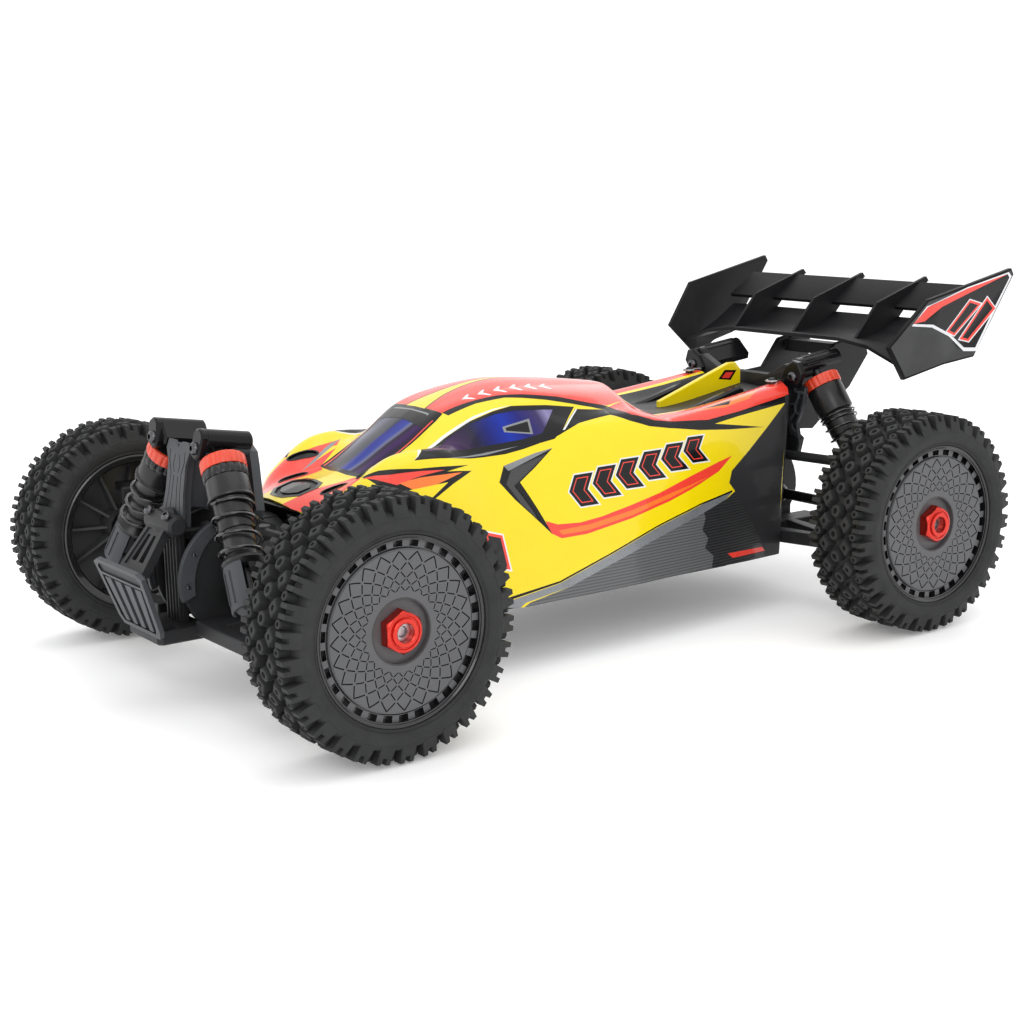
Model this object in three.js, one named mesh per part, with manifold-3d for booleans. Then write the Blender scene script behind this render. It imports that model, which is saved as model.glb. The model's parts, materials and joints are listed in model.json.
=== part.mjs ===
// A four-wheel-drive off-road racing buggy, about one eighth of full size.
// Millimetres. +X is forward, +Y is the buggy's left and +Z is up. The origin is on the ground,
// below the middle of the buggy's bounding box. Left-hand pieces are drawn, and right-hand ones mirrored.

import * as THREE from 'three';
import { mergeVertices } from 'three/addons/utils/BufferGeometryUtils.js';
import Module from 'manifold-3d';

const wasm = await Module();
wasm.setup();

// ---- Driving dimensions -------------------------------------------------------------------------

const GAP = 0.3;
const HALF_LENGTH = 252;
const AXLE_HEIGHT = 57.6;
const TYRE = { radius: AXLE_HEIGHT, width: 42, bead: 39.4, sides: 24 };
const RIM = { barrel: 39, inside: 36.8, lip: 40.8, recess: 13.6, stubRadius: 4.5, sides: 16 };
const NUT = { cornerRadius: 9.8, bore: 4.9, from: 14.5, to: 19.7 };
const CHASSIS = { bottom: 28, top: 31 };
const ARM = { innerY: 24, outerY: 100, z: 38, thickness: 7, eyeRadius: 3.5, plainSide: 20, outerHalf: 12.5 };
const UPRIGHT = {
  bottom: 33, top: 84, eyeX: 7.5, eyeY: 96.2, eyeZ: [34.5, 41.5], shaftHole: 10, stubHole: 5.6,
};
const CARRIER = {
  web: [103.5, 107], webX: 12, foot: 44, earX: 7.5, earY: 124, ears: [[79.5, 84], [31, 35.5]],
};
const KNUCKLE = { y: [112, 121.5], ring: 12.5, postX: 5.5, postZ: [36, 79], armY: 115.5, armZ: [59, 65] };
const REAR_HUB = { y: [104.5, 119.5], halfX: 7, ring: 14, holeDepth: 6.5 };
const UPPER_LINK = { innerY: 28, innerZ: 80, outerY: 104, outerZ: 82, radius: 2.8 };
const DRIVESHAFT = { from: 25, to: 107, radius: 3, ball: 5.4 };
const STEERING_ARM = { reach: 28, y: 107, z: 66 };
const RACK = { x: 162, halfY: 22, halfX: 4 };
const GEARBOX = { radius: 24, centreZ: 59.6, blockHalf: 19.5, blockTop: 50 };
const CENTRE_SHAFT = { z: 50, radius: 3, cup: 5.8 };
const CENTRE_BOX = { x: [0, 32], y: 13, profile: [[19, 60], [14, 78], [6, 85]], foot: 16 };
const MOTOR = { y: 31, z: 53, length: 66, radius: 20.5, rearX: -72, shaft: 2.5 };
const BATTERY = { x: [-56, 84], y: [-51, -6.5], top: 74 };
const CONTROLLER = { x: [44, 100], y: [11, 47], top: 60, fan: [72, 29], fanRadius: 13, fanTop: 66 };
const SERVO = { x: [110, 150], y: [-38, -18], top: 68, horn: [142, -28], hornTop: 74 };

// A module is one end of the car: the tower and shocks stand in a plane that leans by `lean`
// degrees towards the middle of the car, `shockPlane` in front of the axle. Shock ends are given
// in that plane, sideways from the middle and upwards from the axle.
const FRONT = {
  name: 'front', axleX: 190, facing: 1, lean: 9, wheelY: 132.4,
  shockPlane: 26.9, shockTop: [24, 59.4], shockBottom: [76.5, -14.5],
  gearbox: [168, 204], perch: 54,
};
const REAR = {
  name: 'rear', axleX: -138, facing: -1, lean: 6.5, wheelY: 131.1,
  shockPlane: 26.7, shockTop: [41, 66.8], shockBottom: [90, -13.2],
  gearbox: [-160, -118], perch: 58,
};
const SHOCK = { radius: 12.2, sleeve: 9.6, bore: 3.2, rod: 2.2, boot: 9, eye: 4.2, eyeHalf: 4.4, sides: 12 };
const TOWER = { from: 9, to: 13.5 };

const MATERIALS = {
  rubber: material(0x1d1d1e, 0.9, 0),
  darkPlastic: material(0x26272a, 0.6, 0),
  greyPlastic: material(0x3c3e42, 0.55, 0),
  blackMetal: material(0x2a2b2d, 0.35, 0.9),
  steel: material(0xb9bcc0, 0.3, 1),
  redAnodised: material(0xd8231f, 0.3, 0.9),
  yellowShell: material(0xf6e419, 0.2, 0),
  blueCase: material(0x20262e, 0.4, 0),
};

// ---- Shapes -------------------------------------------------------------------------------------

function material(color, roughness, metalness) {
  return new THREE.MeshStandardMaterial({ color, roughness, metalness });
}

function solid(geometry) {
  const bare = geometry.clone();
  bare.deleteAttribute('normal');
  bare.deleteAttribute('uv');
  const welded = mergeVertices(bare, 1e-4);
  return new wasm.Manifold(new wasm.Mesh({
    numProp: 3,
    vertProperties: new Float32Array(welded.attributes.position.array),
    triVerts: new Uint32Array(welded.index.array),
  }));
}

function geometryOf(manifold) {
  const mesh = manifold.getMesh();
  const geometry = new THREE.BufferGeometry();
  geometry.setAttribute('position', new THREE.BufferAttribute(mesh.vertProperties, 3));
  geometry.setIndex(new THREE.BufferAttribute(mesh.triVerts, 1));
  geometry.computeVertexNormals();
  return geometry;
}

const join = (...pieces) => geometryOf(pieces.map(solid).reduce((a, b) => a.add(b)));
const cut = (piece, ...tools) => geometryOf(tools.map(solid).reduce((a, b) => a.subtract(b), solid(piece)));

function block([x0, x1], [y0, y1], [z0, z1]) {
  return new THREE.BoxGeometry(x1 - x0, y1 - y0, z1 - z0)
    .translate((x0 + x1) / 2, (y0 + y1) / 2, (z0 + z1) / 2);
}

const vector = (x, y, z) => new THREE.Vector3(x, y, z);

// A round bar between two points.
function bar(from, to, radius, sides = 12) {
  const along = to.clone().sub(from);
  const turn = new THREE.Quaternion().setFromUnitVectors(vector(0, 1, 0), along.clone().normalize());
  const middle = from.clone().add(to).multiplyScalar(0.5);
  return new THREE.CylinderGeometry(radius, radius, along.length(), sides)
    .applyQuaternion(turn).translate(middle.x, middle.y, middle.z);
}

// A turned piece about the Y axis, from [radius, y] pairs.
function turned(profile, sides) {
  return new THREE.LatheGeometry(profile.map(([r, y]) => new THREE.Vector2(r, y)), sides);
}

function outline(points, holes) {
  const ring = points.map(([u, v]) => new THREE.Vector2(u, v));
  const shape = new THREE.Shape(THREE.ShapeUtils.isClockWise(ring) ? ring.reverse() : ring);
  shape.holes = holes.map((hole) => new THREE.Path(hole.map(([u, v]) => new THREE.Vector2(u, v))));
  return shape;
}

// A flat plate: the outline lies in the named plane, and the thickness runs along the third axis.
function plate(plane, points, [from, to], holes = []) {
  const options = { depth: to - from, bevelEnabled: false };
  const geometry = new THREE.ExtrudeGeometry(outline(points, holes), options);
  const bases = {
    xy: [vector(1, 0, 0), vector(0, 1, 0), vector(0, 0, 1), vector(0, 0, from)],
    yz: [vector(0, 1, 0), vector(0, 0, 1), vector(1, 0, 0), vector(from, 0, 0)],
    xz: [vector(1, 0, 0), vector(0, 0, 1), vector(0, -1, 0), vector(0, to, 0)],
  };
  const [u, v, w, start] = bases[plane];
  return geometry.applyMatrix4(new THREE.Matrix4().makeBasis(u, v, w).setPosition(start));
}

const mirrored = (points) => [...points, ...points.map(([u, v]) => [u, -v]).reverse()];
const bothSides = (points) => [...points, ...points.map(([u, v]) => [-u, v]).reverse()];

function circle(radius, [u, v], sides) {
  return Array.from({ length: sides }, (_, i) => {
    const angle = (2 * Math.PI * i) / sides;
    return [u + radius * Math.cos(angle), v + radius * Math.sin(angle)];
  });
}

function closedMesh(points, triangles) {
  const geometry = new THREE.BufferGeometry();
  geometry.setAttribute('position', new THREE.Float32BufferAttribute(points.flatMap((p) => p.toArray()), 3));
  const volume = triangles.reduce((sum, [a, b, c]) => (
    sum + points[a].dot(points[b].clone().cross(points[c]))), 0);
  geometry.setIndex(triangles.flatMap(([a, b, c]) => (volume > 0 ? [a, b, c] : [a, c, b])));
  geometry.computeVertexNormals();
  return geometry;
}

// A sheet through rows of points, thickened along its normals.
function thickSheet(rows, thickness) {
  const height = rows.length;
  const width = rows[0].length;
  const at = (i, j) => rows[Math.min(Math.max(i, 0), height - 1)][Math.min(Math.max(j, 0), width - 1)];
  const normal = (i, j) => at(i + 1, j).clone().sub(at(i - 1, j))
    .cross(at(i, j + 1).clone().sub(at(i, j - 1))).normalize();
  const points = rows.flat();
  rows.forEach((row, i) => row.forEach((p, j) => (
    points.push(p.clone().addScaledVector(normal(i, j), thickness)))));
  const index = (layer, i, j) => (layer * height + i) * width + j;
  const triangles = [];
  const quad = (a, b, c, d) => triangles.push([a, b, c], [a, c, d]);
  for (let i = 0; i < height - 1; i += 1) {
    for (let j = 0; j < width - 1; j += 1) {
      quad(index(0, i, j), index(0, i + 1, j), index(0, i + 1, j + 1), index(0, i, j + 1));
      quad(index(1, i, j), index(1, i, j + 1), index(1, i + 1, j + 1), index(1, i + 1, j));
    }
    quad(index(0, i, 0), index(1, i, 0), index(1, i + 1, 0), index(0, i + 1, 0));
    const last = width - 1;
    quad(index(0, i, last), index(0, i + 1, last), index(1, i + 1, last), index(1, i, last));
  }
  for (let j = 0; j < width - 1; j += 1) {
    quad(index(0, 0, j), index(0, 0, j + 1), index(1, 0, j + 1), index(1, 0, j));
    const last = height - 1;
    quad(index(0, last, j), index(1, last, j), index(1, last, j + 1), index(0, last, j + 1));
  }
  return closedMesh(points, triangles);
}

// A flat or gently folded panel: a ring of points, and the same ring moved by `offset`.
function panel(ring, offset) {
  const count = ring.length;
  const points = [...ring.map((p) => vector(...p)), ...ring.map((p) => vector(...p).add(offset))];
  const triangles = THREE.ShapeUtils.triangulateShape(ring.map(([x, , z]) => new THREE.Vector2(x, z)), [])
    .flatMap(([a, b, c]) => [[a, b, c], [a + count, c + count, b + count]]);
  const turns = THREE.ShapeUtils.isClockWise(ring.map(([x, , z]) => new THREE.Vector2(x, z)));
  for (let i = 0; i < count; i += 1) {
    const j = (i + 1) % count;
    const side = turns ? [i, i + count, j + count, j] : [i, j, j + count, i + count];
    triangles.push([side[0], side[2], side[1]], [side[0], side[3], side[2]]);
  }
  return closedMesh(points, triangles);
}

// ---- The object ---------------------------------------------------------------------------------

const buggy = new THREE.Group();

function add(name, geometry, surface, parent = buggy) {
  const mesh = new THREE.Mesh(geometry, surface);
  mesh.name = name;
  parent.add(mesh);
  return mesh;
}

// ---- Wheels -------------------------------------------------------------------------------------

const halfWidth = TYRE.width / 2;
const facetRadius = (apothem, sides) => apothem / Math.cos(Math.PI / sides);

function tyreGeometry() {
  const tread = facetRadius(TYRE.radius, TYRE.sides);
  const profile = [
    [TYRE.bead, -17.2], [41.3, -17.2], [42, -19.8], [50, -halfWidth], [tread, -16], [tread, 16],
    [50, halfWidth], [42, 19.8], [41.3, 17.2], [TYRE.bead, 17.2], [TYRE.bead, -17.2],
  ];
  return turned(profile, TYRE.sides).rotateY(Math.PI / TYRE.sides);
}

function rimGeometry() {
  const dishFront = 16.8;
  const recessFloor = 14.2;
  const profile = [
    [0, -halfWidth], [RIM.stubRadius, -halfWidth], [RIM.stubRadius, -8], [8.5, -8], [8.5, 10],
    [RIM.inside, 14], [RIM.inside, -19], [RIM.lip, -19], [RIM.lip, -17.6], [RIM.barrel, -17.6],
    [RIM.barrel, 17.6], [RIM.lip, 17.6], [RIM.lip, 18.6], [RIM.inside, dishFront],
    [RIM.recess, dishFront], [RIM.recess - 0.6, recessFloor], [RIM.stubRadius, recessFloor],
    [RIM.stubRadius, 19.4], [0, 19.4],
  ];
  return turned(profile, RIM.sides);
}

function nutGeometry() {
  const hexagon = circle(NUT.cornerRadius, [0, 0], 6);
  return plate('xz', hexagon, [NUT.from, NUT.to], [circle(NUT.bore, [0, 0], 12)]);
}

function addWheel(corner, module, side) {
  const wheel = new THREE.Group();
  wheel.position.set(module.axleX, module.wheelY, AXLE_HEIGHT);
  side.add(wheel);
  add(`${corner}_tyre`, tyreGeometry(), MATERIALS.rubber, wheel);
  add(`${corner}_rim`, rimGeometry(), MATERIALS.darkPlastic, wheel);
  add(`${corner}_wheel_nut`, nutGeometry(), MATERIALS.redAnodised, wheel);
}

// ---- Suspension ---------------------------------------------------------------------------------

// A module's own axes: X out of the car, Y to the car's left, and Z up the leaning tower.
function moduleFrame(module) {
  const lean = THREE.MathUtils.degToRad(module.lean);
  const out = vector(module.facing * Math.cos(lean), 0, Math.sin(lean));
  const up = vector(-module.facing * Math.sin(lean), 0, Math.cos(lean));
  const left = up.clone().cross(out);
  return new THREE.Matrix4().makeBasis(out, left, up).setPosition(module.axleX, 0, AXLE_HEIGHT);
}

// In the rear module the left-hand side of the car is at negative Y of the module's own axes.
function shockEnds(module) {
  const frame = moduleFrame(module);
  return [module.shockTop, module.shockBottom].map(([y, z]) => (
    vector(module.shockPlane, module.facing * y, z).applyMatrix4(frame)));
}

function lowerArmGeometry(module) {
  const shock = shockEnds(module)[1];
  const reach = Math.abs(shock.x - module.axleX) + 4;
  const bandZ = [ARM.z - ARM.thickness / 2, ARM.z + ARM.thickness / 2];
  const innerY = ARM.innerY - ARM.eyeRadius;
  const forkY = ARM.outerY + ARM.eyeRadius;
  const hubHalf = 8;
  const forkRoot = 92;
  const points = [
    [-ARM.plainSide, innerY], [reach, innerY], [reach, shock.y + 5], [ARM.outerHalf, forkRoot],
    [ARM.outerHalf, forkY], [hubHalf, forkY], [hubHalf, forkRoot], [-hubHalf, forkRoot],
    [-hubHalf, forkY], [-ARM.outerHalf, forkY], [-ARM.outerHalf, forkRoot - 14], [-ARM.plainSide, 48],
  ].map(([x, y]) => [module.axleX + module.facing * x, y]);
  const windows = [
    [[-14, 34], [4, 34], [-6, 76]], [[10, 35], [reach - 8, 36], [reach - 8, 66], [4, 76]],
  ].map((window) => window.map(([x, y]) => [module.axleX + module.facing * x, y]));
  const lug = [7.4, 10.4].map((inward) => shock.x - module.facing * inward);
  return join(
    plate('xy', points, bandZ, windows),
    block(lug.sort((a, b) => a - b), [shock.y - 5, shock.y + 5], [ARM.z, shock.z + 3]),
  );
}

function driveshaftGeometry(module) {
  const { from, to, radius, ball } = DRIVESHAFT;
  const profile = [
    [0, from], [ball, from], [ball, from + 9], [radius, from + 12], [radius, to - 13],
    [ball, to - 10], [ball, to], [0, to],
  ];
  return turned(profile, 12).translate(module.axleX, 0, AXLE_HEIGHT);
}

function upperLinkGeometry(module) {
  const inner = vector(module.axleX, UPPER_LINK.innerY, UPPER_LINK.innerZ);
  const outer = vector(module.axleX, UPPER_LINK.outerY - 6, UPPER_LINK.outerZ);
  const ends = [inner, outer].map((end) => (
    bar(end.clone().add(vector(0, 0, -3.4)), end.clone().add(vector(0, 0, 3.4)), 4.2, 10)));
  return join(bar(inner, outer, UPPER_LINK.radius, 8), ...ends);
}

// Shocks are turned about Y with the top eye at y = 0, then laid along the line of the shock.
function layShock(geometry, module) {
  const [top, bottom] = shockEnds(module);
  const along = bottom.clone().sub(top).normalize();
  const across = vector(1, 0, 0).transformDirection(moduleFrame(module));
  const third = across.clone().cross(along);
  return geometry.applyMatrix4(new THREE.Matrix4().makeBasis(across, along, third).setPosition(top));
}

const eyeAt = (y, radius) => bar(vector(-SHOCK.eyeHalf, y, 0), vector(SHOCK.eyeHalf, y, 0), radius, 12);

function shockBodyGeometry(module) {
  const { radius, sleeve, bore } = SHOCK;
  const profile = [
    [0, 3], [6, 5], [radius, 9], [radius, 27], [sleeve, 28], [sleeve, 42], [bore, 42], [bore, 12], [0, 12],
  ];
  return layShock(join(turned(profile, SHOCK.sides), eyeAt(0, 5)), module);
}

function shockRodGeometry(module) {
  const [top, bottom] = shockEnds(module);
  const length = top.distanceTo(bottom);
  const { rod, boot, eye } = SHOCK;
  const { perch } = module;
  const profile = [
    [0, 28.5], [rod, 28.5], [rod, perch], [11.5, perch], [11.5, perch + 2.5], [boot, perch + 3],
    [boot - 1.5, length - 12], [4, length - 8], [4, length], [0, length],
  ];
  return layShock(join(turned(profile, SHOCK.sides), eyeAt(length, eye)), module);
}

// A round bar along the axle.
function axleBar(axleX, radius, [from, to]) {
  return bar(vector(axleX, from, AXLE_HEIGHT), vector(axleX, to, AXLE_HEIGHT), radius, 16);
}

// Front hub carrier: an upright web with an ear above and below the knuckle.
function carrierGeometry(module) {
  const x = module.axleX;
  const about = (half) => [x - half, x + half];
  const body = join(
    block(about(CARRIER.webX), CARRIER.web, [CARRIER.foot, UPRIGHT.top]),
    block(about(UPRIGHT.eyeX), CARRIER.web, [UPRIGHT.bottom, CARRIER.foot + 1]),
    ...CARRIER.ears.map((z) => block(about(CARRIER.earX), [CARRIER.web[0], CARRIER.earY], z)),
    block(about(UPRIGHT.eyeX), [UPRIGHT.eyeY, CARRIER.web[1]], UPRIGHT.eyeZ),
  );
  return cut(body, axleBar(x, UPRIGHT.shaftHole, [CARRIER.web[0] - 1, CARRIER.web[1] + 1]));
}

// Front knuckle: turns about the kingpin between the carrier's ears, and reaches back for steering.
function knuckleGeometry(module) {
  const x = module.axleX;
  const back = x - STEERING_ARM.reach;
  const [innerY, outerY] = KNUCKLE.y;
  const body = join(
    axleBar(x, KNUCKLE.ring, KNUCKLE.y),
    block([x - KNUCKLE.postX, x + KNUCKLE.postX], [innerY + 0.5, outerY], KNUCKLE.postZ),
    block([back, x - KNUCKLE.postX + 0.5], [KNUCKLE.armY, outerY], KNUCKLE.armZ),
    block([back - 4, back + 4], [STEERING_ARM.y - 4, outerY], KNUCKLE.armZ),
  );
  return cut(body, axleBar(x, UPRIGHT.stubHole, [innerY - 1, outerY + 1]));
}

// Rear hub: one upright with the wheel bearing, on the arm's outer hinge.
function rearHubGeometry(module) {
  const x = module.axleX;
  const [innerY, outerY] = REAR_HUB.y;
  const body = join(
    block([x - REAR_HUB.halfX, x + REAR_HUB.halfX], REAR_HUB.y, [UPRIGHT.bottom, UPRIGHT.top]),
    axleBar(x, REAR_HUB.ring, REAR_HUB.y),
    block([x - UPRIGHT.eyeX, x + UPRIGHT.eyeX], [UPRIGHT.eyeY, innerY + 1.5], UPRIGHT.eyeZ),
  );
  return cut(
    body,
    axleBar(x, UPRIGHT.stubHole, [innerY - 1, outerY + 1]),
    axleBar(x, UPRIGHT.shaftHole, [innerY - 1, innerY + REAR_HUB.holeDepth]),
  );
}

function addCorner(module, sideName, side) {
  const corner = `${module.name}_${sideName}`;
  addWheel(corner, module, side);
  add(`${corner}_driveshaft`, driveshaftGeometry(module), MATERIALS.steel, side);
  add(`${corner}_lower_arm`, lowerArmGeometry(module), MATERIALS.darkPlastic, side);
  add(`${corner}_upper_link`, upperLinkGeometry(module), MATERIALS.darkPlastic, side);
  add(`${corner}_shock_body`, shockBodyGeometry(module), MATERIALS.blackMetal, side);
  add(`${corner}_shock_rod`, shockRodGeometry(module), MATERIALS.greyPlastic, side);
  if (module === FRONT) {
    add(`${corner}_hub_carrier`, carrierGeometry(module), MATERIALS.darkPlastic, side);
    add(`${corner}_knuckle`, knuckleGeometry(module), MATERIALS.blackMetal, side);
  } else {
    add(`${corner}_hub`, rearHubGeometry(module), MATERIALS.darkPlastic, side);
  }
}

function addSide(sideName, sign) {
  const side = new THREE.Group();
  side.scale.y = sign;
  buggy.add(side);
  addCorner(FRONT, sideName, side);
  addCorner(REAR, sideName, side);
  add(`${sideName}_tie_rod`, tieRodGeometry(), MATERIALS.steel, side);
  add(`${sideName}_side_guard`, sideGuardGeometry(), MATERIALS.darkPlastic, side);
}

// ---- Steering -----------------------------------------------------------------------------------

function tieRodGeometry() {
  const inner = vector(RACK.x, RACK.halfY + 4.6, STEERING_ARM.z + 3);
  const outer = vector(FRONT.axleX - STEERING_ARM.reach, STEERING_ARM.y, STEERING_ARM.z + 3);
  const ends = [inner, outer].map((end) => (
    bar(end.clone().add(vector(0, 0, -2.6)), end.clone().add(vector(0, 0, 2.6)), 4, 10)));
  return join(bar(inner, outer, 2.2, 8), ...ends);
}

function addSteering() {
  const x = [RACK.x - RACK.halfX, RACK.x + RACK.halfX];
  const rack = join(
    block(x, [-RACK.halfY, RACK.halfY], [STEERING_ARM.z, STEERING_ARM.z + 6]),
    block([x[0] - 4, x[0] + 1], [-12, 12], [STEERING_ARM.z - 3, STEERING_ARM.z + 5]),
  );
  add('steering_rack', rack, MATERIALS.darkPlastic);
  const [hornX, hornY] = SERVO.horn;
  const hornZ = SERVO.hornTop - 2;
  const servo = join(
    block(SERVO.x, SERVO.y, [CHASSIS.top + GAP, SERVO.top]),
    bar(vector(hornX, hornY, SERVO.top - 2), vector(hornX, hornY, SERVO.hornTop), 4, 12),
    bar(vector(hornX, hornY, hornZ), vector(hornX + 8, hornY + 9, hornZ), 2.4, 8),
  );
  add('steering_servo', servo, MATERIALS.blueCase);
}

// ---- Chassis and drive train --------------------------------------------------------------------

function sideGuardGeometry() {
  const foot = CHASSIS.top + GAP;
  const profile = [[52.5, foot], [55.2, foot], [57.4, 42], [55.4, 42.4], [53.4, 33.5], [52.5, 33.5]];
  return plate('yz', profile, [-80, 72]);
}

function addChassis() {
  const edge = [[208, 18], [160, 21], [112, 40], [94, 56], [-76, 56], [-104, 42], [-128, 22], [-168, 19]];
  const gearSlot = [[24, 12], [24, 20], [40, 20], [40, 12]];
  const chassis = plate('xy', mirrored(edge), [CHASSIS.bottom, CHASSIS.top], [gearSlot]);
  add('chassis_plate', chassis, MATERIALS.blackMetal);
}

function gearboxOutline() {
  const { radius, centreZ, blockHalf, blockTop } = GEARBOX;
  const start = Math.asin((blockTop - centreZ) / radius);
  const steps = 12;
  const arc = Array.from({ length: steps + 1 }, (_, i) => {
    const angle = start + ((Math.PI / 2 - start) * i) / steps;
    return [radius * Math.cos(angle), centreZ + radius * Math.sin(angle)];
  });
  return bothSides([[blockHalf, CHASSIS.top + GAP], [blockHalf, blockTop - 4], ...arc]);
}

function addGearboxes() {
  const front = join(
    plate('yz', gearboxOutline(), FRONT.gearbox),
    block([FRONT.gearbox[1] - 1, 221], [-8, 8], [38.4, 80]),
  );
  add('front_gearbox', front, MATERIALS.darkPlastic);
  add('rear_gearbox', plate('yz', gearboxOutline(), REAR.gearbox), MATERIALS.darkPlastic);
}

function motorGeometry() {
  const { rearX, length, radius, shaft } = MOTOR;
  const frontX = rearX + length;
  const shaftEnd = CENTRE_BOX.x[0] - 2 * GAP;
  const can = [
    [0, rearX], [radius - 2.5, rearX], [radius, rearX + 3], [radius, frontX - 3], [radius - 2.5, frontX],
    [shaft, frontX], [shaft, shaftEnd], [0, shaftEnd],
  ];
  return turned(can, 24).rotateZ(-Math.PI / 2).translate(0, MOTOR.y, MOTOR.z);
}

function addDriveTrain() {
  const foot = CHASSIS.top + GAP;
  const housing = bothSides([[CENTRE_BOX.foot, foot], ...CENTRE_BOX.profile])
    .map(([y, z]) => [y + CENTRE_BOX.y, z]);
  add('centre_gearbox', plate('yz', housing, CENTRE_BOX.x), MATERIALS.darkPlastic);
  add('motor', motorGeometry(), MATERIALS.blackMetal);
  add('battery', block(BATTERY.x, BATTERY.y, [foot, BATTERY.top]), MATERIALS.blueCase);
  const fanAt = (z) => vector(...CONTROLLER.fan, z);
  const fan = bar(fanAt(CONTROLLER.top - 2), fanAt(CONTROLLER.fanTop), CONTROLLER.fanRadius, 20);
  const controller = join(block(CONTROLLER.x, CONTROLLER.y, [foot, CONTROLLER.top]), fan);
  add('speed_controller', controller, MATERIALS.blueCase);
  const spans = {
    front: [CENTRE_BOX.x[1] + 2 * GAP, FRONT.gearbox[0] - 2 * GAP],
    rear: [REAR.gearbox[1] + 2 * GAP, CENTRE_BOX.x[0] - 2 * GAP],
  };
  for (const [name, [from, to]] of Object.entries(spans)) {
    const { radius, cup, z } = CENTRE_SHAFT;
    const profile = [
      [0, from], [cup, from], [cup, from + 8], [radius, from + 9], [radius, to - 9], [cup, to - 8],
      [cup, to], [0, to],
    ];
    const shaft = turned(profile, 12).rotateZ(-Math.PI / 2).translate(0, 0, z);
    add(`${name}_centre_driveshaft`, shaft, MATERIALS.steel);
  }
}

// ---- Towers, bumper and wing --------------------------------------------------------------------

function towerGeometry(module, edge, windows, ...extras) {
  const board = plate('yz', bothSides(edge), [TOWER.from, TOWER.to], windows);
  const [y, z] = module.shockTop;
  const posts = [-y, y].map((at) => (
    bar(vector(TOWER.to - 1, at, z), vector(module.shockPlane - SHOCK.eyeHalf - GAP, at, z), 3, 12)));
  return join(board, ...posts, ...extras).applyMatrix4(moduleFrame(module));
}

const windowPair = (window) => [window, window.map(([y, z]) => [-y, z])];

function addTowers() {
  const frontEdge = [[16, 27], [37, 30], [39, 34], [30, 54.5], [27, 60], [21, 63], [8, 60]];
  const frontWindows = windowPair([[10, 33], [30, 36], [24, 50], [10, 52]]);
  const rib = block([TOWER.to - 1, 32], [-3.5, 3.5], [30, 57]);
  const spine = plate('yz', bothSides([[10, 21], [7, 36], [7, 52], [9, 59]]), [31, 35.6]);
  add('front_shock_tower', towerGeometry(FRONT, frontEdge, frontWindows, rib, spine), MATERIALS.greyPlastic);
  const rearEdge = [[16, 27], [36, 32], [34, 44], [38, 58], [46, 66], [46, 72], [34, 73], [20, 66]];
  const rearWindows = windowPair([[8, 34], [26, 38], [26, 50], [8, 56]]);
  add('rear_shock_tower', towerGeometry(REAR, rearEdge, rearWindows), MATERIALS.darkPlastic);
}

function addBumper() {
  const face = [[238.4, 20, 36], [239.8, 23, 40], [249.8, 27, 67], [249.8, 22, 69]];
  const ring = [...face, ...face.map(([x, y, z]) => [x, -y, z]).reverse()];
  const shield = faceOn(ring, vector(HALF_LENGTH - 249.8, 0, -0.9));
  const foot = block([214, 239.5], [-18, 18], [CHASSIS.top + GAP, 38]);
  add('front_bumper', join(shield, foot), MATERIALS.greyPlastic);
  const head = vector(229.6, 0, 84.5);
  const toe = vector(244.6, 0, 64.5);
  const length = head.distanceTo(toe);
  const slot = [[-3, 7], [3, 7], [3, length - 5], [-3, length - 5]];
  const strip = plate('yz', [[-9, -4], [9, -4], [13, length], [-13, length]], [-2, 2], [slot]);
  const down = toe.clone().sub(head).normalize();
  const side = vector(0, 1, 0);
  const out = side.clone().cross(down);
  strip.applyMatrix4(new THREE.Matrix4().makeBasis(out, side, down).setPosition(head));
  add('bumper_brace', strip, MATERIALS.darkPlastic);
}

// A panel that faces forward: its ring is triangulated across Y and Z.
function faceOn(ring, offset) {
  const turnedRing = ring.map(([x, y, z]) => [y, -x, z]);
  const turnedOffset = vector(offset.y, -offset.x, offset.z);
  return panel(turnedRing, turnedOffset).rotateZ(Math.PI / 2);
}

const WING_THICKNESS = 2;
const FIN_THICKNESS = 2;
const END_THICKNESS = 2.4;
const TIP_SPAN = 44;
const TIP_DROOP = 10.5;
const WING_HALF = 88;
const WING_PLANE = [[-171, 142.5], [-186, 142], [-200, 144.5], [-214, 152]];
const WING_FLAP = [[-211, 158], [-221, 164], [-231, 171]];
const WING_FIN = [[-176, 141], [-205, 145], [-226, 166], [-238, 173], [-236, 175.5], [-196, 163]];
const END_PLATE = [
  [-161, 92, 143], [-179, 87, 123.4], [-201, 95.5, 130.8], [-221, 100, 134], [-HALF_LENGTH, 100.7, 178],
  [-250, 100.7, 181.5], [-184, 99, 168],
];

const CHEEK_Y = [21.5, 24.5];
const CHEEK = [
  [-150, 120], [-151, 92], [-172, 90], [-202, 112], [-217, 130], [-212, 144.5], [-200, 140], [-189, 138],
  [-176, 122],
];

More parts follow.
